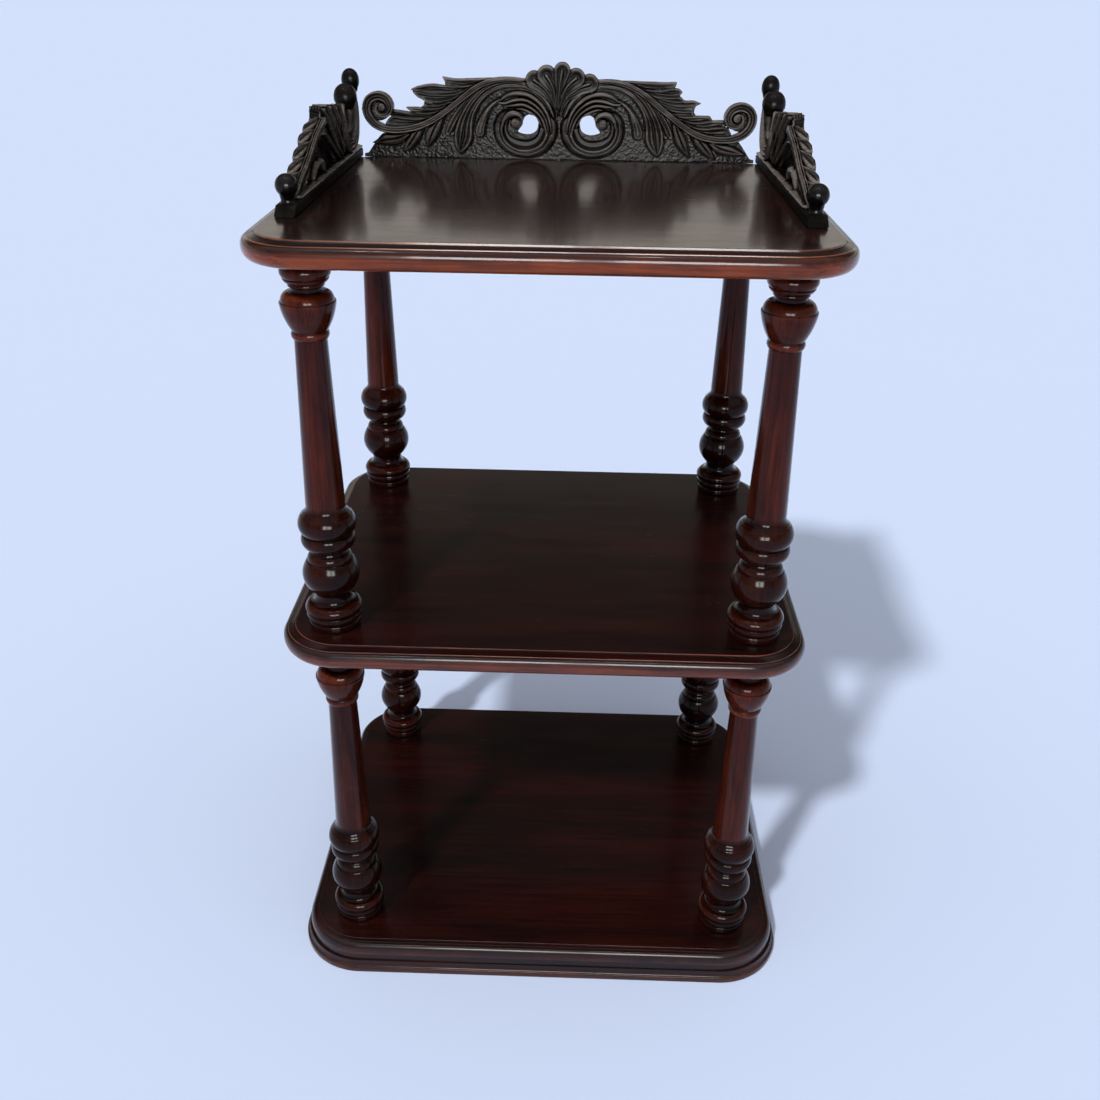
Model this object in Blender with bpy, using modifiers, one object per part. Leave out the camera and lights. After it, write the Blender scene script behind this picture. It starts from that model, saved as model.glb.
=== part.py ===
"""Carved shelf table: a moulded base and two moulded shelves on eight turned posts,
with a carved gallery round the back and sides of the top shelf.

Metres, +Z up. The origin is the middle of the footprint, on the floor.
The front faces -Y, and the gallery stands along the back edge at +Y.
"""
import math

import bmesh
import bpy
from mathutils import Matrix, Vector

COLLECTION = "carved_shelf_table"
CUTTERS = "cutters"

# Boards; the shelves stand back from the base's edge by the setbacks
BASE_WIDTH = 0.522
BASE_DEPTH = 0.448
SHELF_SIDE_SETBACK = 0.011
SHELF_FRONT_SETBACK = 0.007
SHELF_WIDTH = BASE_WIDTH - 2 * SHELF_SIDE_SETBACK
SHELF_DEPTH = BASE_DEPTH - 2 * SHELF_FRONT_SETBACK
SHELF_CORNER = 0.058
SHELF_THICKNESS = 0.022
FIELD_INSET = 0.0107
BASE_CORNER = 0.068
BASE_HEIGHT = 0.035
BASE_FIELD_INSET = 0.0136
BOARD_OVERHANG_SETBACK = 0.0025
PLINTH_HEIGHT = 0.0135
PLINTH_RAIL_WIDTH = 0.060
PLINTH_LIP = 0.0035
STOREY = 0.370
SEAT_GAP = 0.0003

# Turned posts
POST_SIDE_INSET = 0.0507
POST_FRONT_INSET = 0.0524
POST_RADIUS = 0.0267
SHAFT_FOOT_RADIUS = 0.0180
SHAFT_HEAD_RADIUS = 0.0140
FOOT_TURNING = 0.128
HEAD_TURNING = 0.070
SPIGOT_RADIUS = 0.0085
SPIGOT_LENGTH = 0.013
SOCKET_CLEARANCE = 0.0003
SOCKET_RELIEF = 0.0012

# Gallery along the back of the top shelf
GALLERY_END_SETBACK = 0.039
GALLERY_HALF_LENGTH = SHELF_WIDTH / 2 - GALLERY_END_SETBACK
GALLERY_HEIGHT = 0.100
GALLERY_THICKNESS = 0.0105
GALLERY_GROUND = 0.0065
GALLERY_FRONT_SETBACK = 0.0217

# Galleries along the sides, on their rails
RAIL_WIDTH = 0.0180
RAIL_HEIGHT = 0.0085
RAIL_SIDE_SETBACK = 0.0184
RAIL_BACK_SETBACK = 0.0112
RAIL_BEVEL = 0.0105
RAIL_ROUND = 0.0008
SIDE_LENGTH = 0.300
SIDE_HEIGHT = 0.0805
SIDE_THICKNESS = 0.0145
SIDE_GROUND = 0.0100
SIDE_POCKET_DEPTH = 0.0035
SIDE_INNER_SETBACK = 0.0004
SIDE_KNOB_THICKNESS = 0.0172

# Ball finials on the rails' front ends, a space in front of the side galleries
FINIAL_SPACE = 0.0130
FINIAL_RADIUS = 0.0098
FINIAL_HEIGHT = 0.0240
FINIAL_NECK_RADIUS = 0.0052
FINIAL_FOOT_RADIUS = 0.0070
FINIAL_SETBACK = 0.0190
FINIAL_SPIGOT_RADIUS = 0.0025
FINIAL_SPIGOT_LENGTH = 0.0060

# Dowels
DOWEL_RADIUS = 0.0016
DOWEL_DEPTH = 0.0080
DOWEL_CLEARANCE = 0.0003

# Working sizes
OVERRUN = 0.0050
MERGE = 0.00001

CORNER_STEPS = 5
POST_SIDES = 12
FINIAL_SIDES = 12
FINIAL_STEPS = 7
DOWEL_SIDES = 8
BALL_SIDES = 8
BALL_RINGS = 5

# A shelf's edge from the field outwards and down, as shares of the inset and the thickness:
# the step off the raised field, then one broad thumb moulding and its rounded underside
SHELF_EDGE_SHARES = (
    (1.00, 0.00), (1.00, 0.075), (0.62, 0.10), (0.30, 0.19), (0.08, 0.33),
    (0.00, 0.50), (0.10, 0.72), (0.34, 0.90), (0.80, 1.00),
)
# The base board's edge: field, step, fillet, ovolo
BASE_EDGE_SHARES = (
    (1.00, 0.00), (1.00, 0.07), (0.74, 0.07), (0.70, 0.16), (0.46, 0.22),
    (0.24, 0.40), (0.14, 0.64), (0.12, 0.90), (0.16, 1.00),
)
# The plinth's edge under it: cove, bead and lip
PLINTH_EDGE_SHARES = (
    (1.00, 0.00), (0.60, 0.10), (0.28, 0.34), (0.10, 0.62), (0.00, 0.72), (0.00, 1.00),
)

# Foot of a post: (share of the foot turning's height, share of the post's radius,
# share of the stretch that it bulges, steps)
FOOT_SHARES = (
    (0.050, 0.910, 0.00, 1), (0.118, 0.940, 0.20, 2), (0.188, 0.915, 0.21, 2),
    (0.246, 0.629, 0.00, 1), (0.300, 0.700, 0.00, 1), (0.540, 0.810, 0.20, 4),
    (0.620, 0.620, 0.00, 1), (0.650, 0.790, 0.00, 1), (0.752, 0.876, 0.15, 2),
    (0.906, 0.869, 0.17, 2),
)
# Head of a post, upwards from the shaft
HEAD_SHARES = (
    (0.036, 0.560, 0.00, 1), (0.120, 0.566, 0.20, 2), (0.464, 0.895, 0.00, 1),
    (0.493, 0.858, 0.00, 1), (0.607, 0.502, 0.22, 2), (0.643, 0.494, 0.00, 1),
    (0.750, 0.727, 0.00, 1), (0.900, 0.742, 0.19, 2), (1.000, 0.749, 0.00, 1),
)
FOOT_START_SHARE = 0.910
# Tops of a finial's foot and of its neck below the ball, as shares of its height
FINIAL_FOOT_SHARE = 0.08
FINIAL_NECK_START_SHARE = 0.20
FINIAL_NECK_END_SHARE = 0.26

# How far a raised member's middle lies below the ground that it rises from, and how far
# an eye stands up from that middle, as shares of the relief
SINK_SHARE = 0.13
EYE_SHARE = 1.10

# The back gallery's right half, in shares of the gallery's height; the drawing is
# GALLERY_END_SHARE long. A third value of 1 marks a corner.
GALLERY_END_SHARE = 2.11
GALLERY_OUTLINE_SHARES = (
    (0.00, 0.00, 1), (2.05, 0.00, 1), (2.02, 0.05, 0), (1.94, 0.21, 1), (2.01, 0.26, 0),
    (2.08, 0.34, 0), (2.11, 0.46, 0), (2.08, 0.57, 0), (1.99, 0.64, 0), (1.88, 0.64, 0),
    (1.80, 0.60, 0), (1.76, 0.52, 0), (1.75, 0.45, 1), (1.67, 0.47, 0), (1.61, 0.51, 1),
    (1.52, 0.50, 0), (1.45, 0.53, 1), (1.50, 0.60, 0), (1.57, 0.66, 1), (1.49, 0.72, 0),
    (1.38, 0.74, 0), (1.25, 0.73, 1), (1.24, 0.82, 1), (1.10, 0.80, 0), (0.85, 0.81, 0),
    (0.60, 0.83, 0), (0.40, 0.82, 1), (0.35, 0.87, 0), (0.26, 0.87, 1), (0.21, 0.93, 0),
    (0.12, 0.93, 1), (0.07, 0.98, 0), (0.00, 1.00, 0),
)
GALLERY_PIERCING_SHARES = (
    (0.29, 0.46), (0.23, 0.41), (0.21, 0.34), (0.25, 0.28), (0.33, 0.25), (0.42, 0.27),
    (0.37, 0.31), (0.345, 0.37), (0.345, 0.43),
)
# Raised members, root to tip: (x share, height share, share of the relief's height)
C_SCROLL_SHARES = (
    (0.62, 0.56, 0.3), (0.45, 0.58, 0.7), (0.28, 0.54, 1.0), (0.17, 0.44, 1.1), (0.135, 0.32, 1.1),
    (0.18, 0.19, 1.1), (0.30, 0.105, 1.1), (0.43, 0.105, 1.1), (0.54, 0.18, 1.1), (0.585, 0.29, 1.0),
    (0.55, 0.41, 0.9), (0.47, 0.465, 0.8), (0.41, 0.44, 0.7),
)
OUTER_ARC_SHARES = (
    (0.03, 0.40, 0.5), (0.08, 0.54, 0.8), (0.18, 0.65, 0.9), (0.32, 0.72, 1.0), (0.48, 0.74, 1.1),
    (0.64, 0.70, 1.2), (0.77, 0.61, 1.3), (0.87, 0.47, 1.4), (0.93, 0.32, 1.4), (0.99, 0.17, 1.2),
    (1.06, 0.06, 0.3),
)
STEM_SHARES = (
    (0.52, 0.80, 0.4), (0.74, 0.76, 0.8), (0.92, 0.67, 1.0), (1.08, 0.55, 1.0), (1.25, 0.43, 0.9),
    (1.45, 0.31, 0.9), (1.66, 0.25, 0.9), (1.85, 0.26, 1.0), (1.98, 0.33, 1.1), (2.05, 0.45, 1.1),
    (2.03, 0.55, 1.1), (1.94, 0.60, 1.0), (1.85, 0.58, 0.9), (1.81, 0.50, 0.7),
)
BACK_CURVES_SHARES = (C_SCROLL_SHARES, OUTER_ARC_SHARES, STEM_SHARES)
# The volutes' eyes: place and half size in shares of the gallery's height
BACK_EYES_SHARES = ((0.455, 0.375, 0.060), (1.905, 0.475, 0.062))
BACK_LEAVES_SHARES = (
    ((0.88, 0.74, 0.4), (1.06, 0.76, 0.9), (1.22, 0.81, 0.2)),
    ((1.03, 0.60, 0.4), (1.18, 0.66, 1.2), (1.38, 0.68, 1.1), (1.56, 0.66, 0.2)),
    ((1.14, 0.51, 0.4), (1.27, 0.57, 1.1), (1.44, 0.54, 0.3)),
    ((1.30, 0.41, 0.4), (1.44, 0.46, 0.9), (1.60, 0.51, 0.2)),
    ((1.46, 0.34, 0.4), (1.60, 0.40, 0.9), (1.74, 0.43, 0.3)),
    ((1.18, 0.48, 0.4), (1.19, 0.36, 0.9), (1.22, 0.25, 0.2)),
    ((1.28, 0.40, 0.4), (1.34, 0.27, 1.1), (1.42, 0.12, 0.2)),
    ((1.46, 0.30, 0.4), (1.56, 0.19, 1.1), (1.67, 0.07, 0.2)),
    ((1.68, 0.22, 0.4), (1.80, 0.16, 1.0), (1.96, 0.12, 0.2)),
    ((0.58, 0.64, 0.4), (0.72, 0.54, 0.8), (0.79, 0.40, 0.9), (0.83, 0.27, 0.8)),
    ((0.13, 0.50, 0.3), (0.27, 0.62, 0.6), (0.46, 0.645, 0.7), (0.64, 0.59, 0.3)),
)
SHELL_LEAVES_SHARES = (
    ((0.00, 0.42, 0.4), (0.00, 0.70, 0.9), (0.00, 0.94, 1.5)),
    ((0.02, 0.44, 0.4), (0.10, 0.70, 0.9), (0.175, 0.88, 1.4)),
    ((0.04, 0.46, 0.4), (0.18, 0.70, 0.9), (0.31, 0.825, 1.3)),
)

# A side gallery, from its rear end forwards, in shares of its height above the rail
SIDE_END_SHARE = 3.73
SIDE_OUTLINE_SHARES = (
    (0.00, 0.00, 1), (3.73, 0.00, 1), (3.68, 0.17, 0), (3.56, 0.25, 1), (3.50, 0.29, 0),
    (3.36, 0.32, 1), (3.31, 0.36, 0), (3.14, 0.39, 1), (3.09, 0.44, 0), (2.91, 0.49, 1),
    (2.86, 0.54, 0), (2.64, 0.59, 1), (2.58, 0.63, 0), (2.36, 0.65, 1), (2.17, 0.67, 1),
    (2.24, 0.79, 1), (2.00, 0.77, 0), (1.63, 0.76, 0), (1.25, 0.75, 0), (0.95, 0.76, 1),
    (0.84, 0.83, 0), (0.66, 0.87, 0), (0.45, 0.88, 0), (0.31, 0.85, 1), (0.27, 0.93, 0),
    (0.17, 0.99, 0), (0.07, 1.00, 0), (0.00, 0.95, 1),
)
SIDE_POCKET_SHARES = (
    (3.30, 0.04), (3.06, 0.26), (2.78, 0.42), (2.45, 0.47), (2.12, 0.40), (1.84, 0.28),
    (1.52, 0.04),
)
SIDE_RING_SHARES = (
    (0.95, 0.70, 0.5), (1.04, 0.52, 1.0), (1.00, 0.30, 1.0), (0.80, 0.15, 1.0), (0.50, 0.13, 1.0),
    (0.27, 0.26, 1.0), (0.22, 0.46, 1.0), (0.36, 0.62, 1.0), (0.60, 0.66, 1.0), (0.78, 0.54, 0.9),
    (0.76, 0.36, 0.8),
)
SIDE_ARCH_SHARES = (
    (3.66, 0.06, 0.4), (3.38, 0.11, 0.8), (3.16, 0.27, 0.8), (2.92, 0.41, 0.8), (2.62, 0.50, 0.8),
    (2.30, 0.50, 0.8), (2.04, 0.42, 0.8), (1.78, 0.30, 0.8), (1.50, 0.17, 0.8), (1.22, 0.06, 0.4),
)
SIDE_CURVES_SHARES = (SIDE_RING_SHARES, SIDE_ARCH_SHARES)
SIDE_EYES_SHARES = ((0.55, 0.40, 0.075),)
SIDE_LEAVES_SHARES = (
    ((2.10, 0.73, 0.3), (1.80, 0.60, 1.1), (1.50, 0.38, 1.1), (1.06, 0.07, 0.4)),
    ((1.66, 0.72, 0.3), (1.42, 0.60, 1.1), (1.24, 0.40, 1.1), (0.96, 0.10, 0.4)),
    ((2.30, 0.57, 0.4), (2.48, 0.60, 0.9), (2.66, 0.58, 0.2)),
    ((2.60, 0.54, 0.4), (2.76, 0.52, 0.9), (2.92, 0.47, 0.2)),
    ((2.85, 0.46, 0.4), (3.00, 0.43, 0.9), (3.14, 0.375, 0.2)),
    ((3.08, 0.34, 0.4), (3.22, 0.34, 0.9), (3.36, 0.30, 0.2)),
    ((3.26, 0.22, 0.4), (3.44, 0.24, 0.9), (3.56, 0.235, 0.2)),
    ((2.70, 0.05, 0.5), (2.60, 0.16, 0.6), (2.48, 0.20, 0.3)),
    ((2.20, 0.05, 0.5), (2.30, 0.15, 0.6), (2.42, 0.17, 0.3)),
)
# The two rolled lobes at the rear: place, and half sizes along the gallery and upwards
SIDE_LOBES_SHARES = ((0.125, 0.85, 0.118, 0.150), (0.50, 0.70, 0.155, 0.180))

# Places of dowels: shares of the back gallery's half length and of a side gallery's length
BACK_DOWEL_SHARES = (("left", -0.78), ("middle", 0.0), ("right", 0.78))
SIDE_DOWEL_SHARES = (("front", 0.80), ("rear", 0.20))

# Leading heights
BASE_TOP = BASE_HEIGHT
MIDDLE_TOP = BASE_TOP + STOREY
TOP_TOP = MIDDLE_TOP + STOREY
POST_HEIGHT = STOREY - SHELF_THICKNESS - 2 * SEAT_GAP
POST_X = SHELF_WIDTH / 2 - POST_SIDE_INSET
POST_Y = SHELF_DEPTH / 2 - POST_FRONT_INSET
SOCKET_RADIUS = SPIGOT_RADIUS + SOCKET_CLEARANCE
SOCKET_DEPTH = SPIGOT_LENGTH + SOCKET_RELIEF
THROUGH_SPIGOT = SHELF_THICKNESS + SEAT_GAP + SPIGOT_LENGTH
GALLERY_FOOT = TOP_TOP + SEAT_GAP
GALLERY_FRONT_Y = SHELF_DEPTH / 2 - GALLERY_FRONT_SETBACK
GALLERY_BACK_Y = GALLERY_FRONT_Y + GALLERY_THICKNESS
RAIL_OUTER_X = SHELF_WIDTH / 2 - RAIL_SIDE_SETBACK
RAIL_INNER_X = RAIL_OUTER_X - RAIL_WIDTH
RAIL_CENTRE_X = (RAIL_OUTER_X + RAIL_INNER_X) / 2
RAIL_BACK_Y = SHELF_DEPTH / 2 - RAIL_BACK_SETBACK
FINIAL_Y = RAIL_BACK_Y - SIDE_LENGTH - FINIAL_SPACE
RAIL_FRONT_Y = FINIAL_Y - FINIAL_SETBACK
RAIL_TOP = GALLERY_FOOT + RAIL_HEIGHT
SIDE_FOOT = RAIL_TOP + SEAT_GAP
GALLERY_DOWEL_Y = GALLERY_BACK_Y - GALLERY_GROUND / 2
SIDE_DOWEL_X = RAIL_INNER_X + SIDE_INNER_SETBACK + SIDE_THICKNESS - SIDE_GROUND / 2


def clear_scene():
    """Removes what the file opened with and makes the two collections."""
    for obj in list(bpy.data.objects):
        bpy.data.objects.remove(obj, do_unlink=True)
    for name in (COLLECTION, CUTTERS):
        if name not in bpy.data.collections:
            bpy.context.scene.collection.children.link(bpy.data.collections.new(name))


def wood(name, colour, roughness):
    """A polished mahogany as a plain Principled BSDF."""
    material = bpy.data.materials.new(name)
    material.use_nodes = True
    shader = material.node_tree.nodes["Principled BSDF"]
    shader.inputs["Base Color"].default_value = (*colour, 1.0)
    shader.inputs["Roughness"].default_value = roughness
    shader.inputs["Metallic"].default_value = 0.0
    return material


def add_object(name, mesh, material=None, collection=COLLECTION):
    obj = bpy.data.objects.new(name, mesh)
    bpy.data.collections[collection].objects.link(obj)
    if material is not None:
        mesh.materials.clear()
        mesh.materials.append(material)
    return obj


def as_cutter(obj):
    obj.hide_render = True
    obj.display_type = "WIRE"
    return obj


def finish_mesh(bm, name):
    bmesh.ops.recalc_face_normals(bm, faces=bm.faces[:])
    mesh = bpy.data.meshes.new(name)
    bm.to_mesh(mesh)
    bm.free()
    return mesh


def smooth_shading(obj, degrees=35):
    obj.data.shade_smooth()
    obj.data.set_sharp_from_angle(angle=math.radians(degrees))


def rounded_rectangle(width, depth, corner):
    """Points round a rectangle with round corners, counter-clockwise."""
    points = []
    corners = ((1, 1, 0), (-1, 1, 90), (-1, -1, 180), (1, -1, 270))
    for side_x, side_y, start in corners:
        centre_x = side_x * (width / 2 - corner)
        centre_y = side_y * (depth / 2 - corner)
        for step in range(CORNER_STEPS + 1):
            angle = math.radians(start + 90 * step / CORNER_STEPS)
            points.append((centre_x + corner * math.cos(angle), centre_y + corner * math.sin(angle)))
    return points


def moulded_board(name, width, depth, corner, top, thickness, inset, edge_shares):
    """A round-cornered board whose edge follows a moulding, as rings bridged downwards."""
    bm = bmesh.new()
    loops = []
    for inset_share, drop_share in edge_shares:
        back = inset * inset_share
        height = top - thickness * drop_share
        outline = rounded_rectangle(width - 2 * back, depth - 2 * back, corner - back)
        verts = [bm.verts.new((x, y, height)) for x, y in outline]
        loops.append([bm.edges.new((verts[i - 1], verts[i])) for i in range(len(verts))])
    for upper, lower in zip(loops, loops[1:]):
        bmesh.ops.bridge_loops(bm, edges=upper + lower)
    bmesh.ops.contextual_create(bm, geom=loops[0])
    bmesh.ops.contextual_create(bm, geom=loops[-1])
    return finish_mesh(bm, name)


def cylinder(name, radius, bottom, top, x, y, sides):
    bm = bmesh.new()
    place = Matrix.Translation((x, y, (bottom + top) / 2))
    bmesh.ops.create_cone(bm, cap_ends=True, segments=sides, radius1=radius, radius2=radius,
                          depth=top - bottom, matrix=place)
    return finish_mesh(bm, name)


def apply_modifiers(obj):
    """Bakes the object's modifiers into its mesh, so that later cuts act on the result."""
    graph = bpy.context.evaluated_depsgraph_get()
    mesh = bpy.data.meshes.new_from_object(obj.evaluated_get(graph))
    obj.modifiers.clear()
    obj.data = mesh


def boolean(obj, tools, operation):
    """Cuts, joins or intersects the object with all the tools at once and keeps the result."""
    group = bpy.data.collections.new(obj.name + "_tools")
    bpy.data.collections[CUTTERS].children.link(group)
    for tool in tools:
        group.objects.link(tool)
    modifier = obj.modifiers.new(operation.lower(), "BOOLEAN")
    modifier.operation = operation
    modifier.solver = "EXACT"
    modifier.operand_type = "COLLECTION"
    modifier.collection = group
    apply_modifiers(obj)


def bore(obj, radius, bottom, top, places, sides):
    """Drills upright holes at the given places."""
    tools = []
    for x, y in places:
        mesh = cylinder(obj.name + "_bore", radius, bottom, top, x, y, sides)
        tools.append(as_cutter(add_object(obj.name + "_bore", mesh, collection=CUTTERS)))
    boolean(obj, tools, "DIFFERENCE")


def arc_between(start, end, bulge_share, steps):
    """Points after start up to end, along an arc that stands off the chord by the given share."""
    chord = Vector(end) - Vector(start)
    outward = Vector((chord.y, -chord.x))
    points = []
    for step in range(1, steps + 1):
        along = step / steps
        rise = 4 * along * (1 - along) * bulge_share
        points.append(tuple(Vector(start) + chord * along + outward * rise))
    return points


def turned_profile(start, members):
    """Joins turned members, (radius, height, bulge share, steps), into one profile upwards."""
    points = [start]
    for radius, height, bulge_share, steps in members:
        points += arc_between(points[-1], (radius, height), bulge_share, steps)
    return points


def turned(name, profile, sides):
    """Turns a profile of (radius, height), given from the top down, about the Z axis."""
    bm = bmesh.new()
    verts = [bm.verts.new((radius, 0, height)) for radius, height in profile]
    for upper, lower in zip(verts, verts[1:]):
        bm.edges.new((upper, lower))
    mesh = bpy.data.meshes.new(name)
    bm.to_mesh(mesh)
    bm.free()
    obj = add_object(name, mesh, collection=CUTTERS)
    screw = obj.modifiers.new("turn", "SCREW")
    screw.axis = "Z"
    screw.steps = sides
    screw.render_steps = sides
    screw.use_merge_vertices = True
    screw.merge_threshold = MERGE
    screw.use_smooth_shade = True
    apply_modifiers(obj)
    turned_mesh = obj.data
    bpy.data.objects.remove(obj, do_unlink=True)
    return turned_mesh


def post_profile():
    """The outer profile of a post from its foot to its head."""
    foot = [(POST_RADIUS * r, FOOT_TURNING * h, bulge, steps) for h, r, bulge, steps in FOOT_SHARES]
    shaft_top = POST_HEIGHT - HEAD_TURNING
    head = [(POST_RADIUS * r, shaft_top + HEAD_TURNING * h, bulge, steps)
            for h, r, bulge, steps in HEAD_SHARES]
    flare = [(SHAFT_FOOT_RADIUS, FOOT_TURNING, 0.0, 1)]
    shaft = [(SHAFT_HEAD_RADIUS, shaft_top, 0.0, 1)]
    return turned_profile((POST_RADIUS * FOOT_START_SHARE, 0.0), foot + flare + shaft + head)


def post_mesh(name, lower_spigot, socketed):
    """A post with a spigot below, and above it either a spigot or a socket for the next post."""
    outside = list(reversed(post_profile()))
    if socketed:
        floor = POST_HEIGHT - SOCKET_DEPTH
        head = [(0.0, floor), (SOCKET_RADIUS, floor), (SOCKET_RADIUS, POST_HEIGHT)]
    else:
        tip = POST_HEIGHT + SPIGOT_LENGTH
        head = [(0.0, tip), (SPIGOT_RADIUS, tip), (SPIGOT_RADIUS, POST_HEIGHT)]
    foot = [(SPIGOT_RADIUS, 0.0), (SPIGOT_RADIUS, -lower_spigot), (0.0, -lower_spigot)]
    return turned(name, head + outside + foot, POST_SIDES)


def smooth_path(points, steps):
    """A Catmull-Rom curve through the points; each may carry further values beside its place."""
    path = []
    for i in range(len(points) - 1):
        before = Vector(points[max(i - 1, 0)])
        here = Vector(points[i])
        after = Vector(points[i + 1])
        beyond = Vector(points[min(i + 2, len(points) - 1)])
        for step in range(steps):
            t = step / steps
            a = (after - before) / 2
            b = before - here * 2.5 + after * 2 - beyond / 2
            c = (beyond - before) / 2 + (here - after) * 1.5
            path.append(here + a * t + b * t ** 2 + c * t ** 3)
    path.append(Vector(points[-1]))
    return path


def outline_path(points, steps):
    """A closed outline that is smooth between its marked corners."""
    path = []
    run = []
    for x, y, corner in points:
        run.append((x, y))
        if corner and len(run) > 1:
            path += smooth_path(run, steps if len(run) > 2 else 1)[:-1]
            run = [(x, y)]
    path += smooth_path(run, steps if len(run) > 2 else 1)
    return path


def panel(name, outline, holes, thickness):
    """A flat panel lying on the bench: outline and piercings as a filled 2D curve."""
    curve = bpy.data.curves.new(name, "CURVE")
    curve.dimensions = "2D"
    curve.fill_mode = "BOTH"
    curve.extrude = thickness / 2
    for loop in (outline, *holes):
        spline = curve.splines.new("POLY")
        spline.points.add(len(loop) - 1)
        spline.use_cyclic_u = True
        for point, place in zip(spline.points, loop):
            point.co = (place[0], place[1], 0, 1)
    return curve_solid(name, curve, thickness / 2)


def raised_member(name, points, height, roundness):
    """A member along a path, as thick as its relief says, with its middle at a height."""
    curve = bpy.data.curves.new(name, "CURVE")
    curve.dimensions = "3D"
    curve.fill_mode = "FULL"
    curve.bevel_depth = 1
    curve.bevel_resolution = roundness
    curve.use_fill_caps = True
    curve.twist_mode = "Z_UP"
    spline = curve.splines.new("POLY")
    spline.points.add(len(points) - 1)
    for point, (x, y, radius) in zip(spline.points, points):
        point.co = (x, y, 0, 1)
        point.radius = radius
    return curve_solid(name, curve, height)


def curve_solid(name, curve, height):
    """Makes a closed mesh object of a curve, lifted to the given height on the bench."""
    source = add_object(name + "_curve", curve, collection=CUTTERS)
    graph = bpy.context.evaluated_depsgraph_get()
    graph.update()
    mesh = bpy.data.meshes.new_from_object(source.evaluated_get(graph))
    bpy.data.objects.remove(source, do_unlink=True)
    bm = bmesh.new()
    bm.from_mesh(mesh)
    bmesh.ops.remove_doubles(bm, verts=bm.verts[:], dist=MERGE)
    bmesh.ops.translate(bm, verts=bm.verts[:], vec=(0, 0, height))
    bmesh.ops.recalc_face_normals(bm, faces=bm.faces[:])
    bm.to_mesh(mesh)
    bm.free()
    return as_cutter(add_object(name, mesh, collection=CUTTERS))


def carving(name, curves, leaves, eyes, scale_x, scale_y, relief, ground):
    """The raised members of a gallery: round scrolls, ridged leaves, and the volutes' eyes."""
    members = []
    middle = ground - relief * SINK_SHARE
    for roundness, group in ((1, curves), (0, leaves)):
        for number, shares in enumerate(group):
            path = [(x * scale_x, y * scale_y, r * relief) for x, y, r in shares]
            members.append(raised_member(f"{name}_{roundness}_{number}", path, middle, roundness))
    for number, (x, y, size) in enumerate(eyes):
        half_sizes = (size * scale_y, size * scale_y, relief * EYE_SHARE)
        members.append(ball(f"{name}_eye_{number}", (x * scale_x, y * scale_y, middle), half_sizes))
    return members


def ball(name, centre, half_sizes):
    """A ball, drawn out to the given half sizes."""
    bm = bmesh.new()
    place = Matrix.Translation(centre) @ Matrix.Diagonal((*half_sizes, 1))
    bmesh.ops.create_uvsphere(bm, u_segments=BALL_SIDES, v_segments=BALL_RINGS, radius=1, matrix=place)
    return as_cutter(add_object(name, finish_mesh(bm, name), collection=CUTTERS))


def mirrored(shares):
    return tuple((-point[0], *point[1:]) for point in shares)


def back_gallery(material):
    """The carved back gallery, modelled flat on the bench and then stood up."""
    scale_x = GALLERY_HALF_LENGTH / GALLERY_END_SHARE
    scale_y = GALLERY_HEIGHT
    relief = GALLERY_THICKNESS - GALLERY_GROUND
    half = outline_path(GALLERY_OUTLINE_SHARES, 2)
    outline = half + [Vector((-p.x, p.y)) for p in reversed(half[1:-1])]
    outline = [(p.x * scale_x, p.y * scale_y) for p in outline]
    holes = []
    for shares in (GALLERY_PIERCING_SHARES, mirrored(GALLERY_PIERCING_SHARES)):
        holes.append([(x * scale_x, y * scale_y) for x, y in shares])
    gallery = panel("back_gallery", outline, holes, GALLERY_GROUND)
    curves = BACK_CURVES_SHARES + tuple(mirrored(c) for c in BACK_CURVES_SHARES)
    leaves = BACK_LEAVES_SHARES + tuple(mirrored(c) for c in BACK_LEAVES_SHARES)
    leaves += SHELL_LEAVES_SHARES + tuple(mirrored(c) for c in SHELL_LEAVES_SHARES[1:])
    eyes = BACK_EYES_SHARES + mirrored(BACK_EYES_SHARES)
    members = carving("back_carving", curves, leaves, eyes, scale_x, scale_y, relief, GALLERY_GROUND)
    boolean(gallery, members, "UNION")
    upright = Matrix.Rotation(math.radians(90), 4, "X")
    gallery.data.transform(Matrix.Translation((0, GALLERY_BACK_Y, GALLERY_FOOT)) @ upright)
    settle(gallery, "back_gallery", material)
    places = [(share * GALLERY_HALF_LENGTH, GALLERY_DOWEL_Y) for _, share in BACK_DOWEL_SHARES]
    top = GALLERY_FOOT + DOWEL_DEPTH + DOWEL_CLEARANCE
    bore(gallery, DOWEL_RADIUS + DOWEL_CLEARANCE, GALLERY_FOOT - OVERRUN, top, places, DOWEL_SIDES)
    return gallery


def settle(obj, name, material):
    """Moves a finished solid from the cutters to the parts, with its name and material."""
    bpy.data.collections[CUTTERS].objects.unlink(obj)
    bpy.data.collections[COLLECTION].objects.link(obj)
    obj.name = name
    obj.hide_render = False
    obj.display_type = "TEXTURED"
    obj.data.materials.clear()
    obj.data.materials.append(material)


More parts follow.
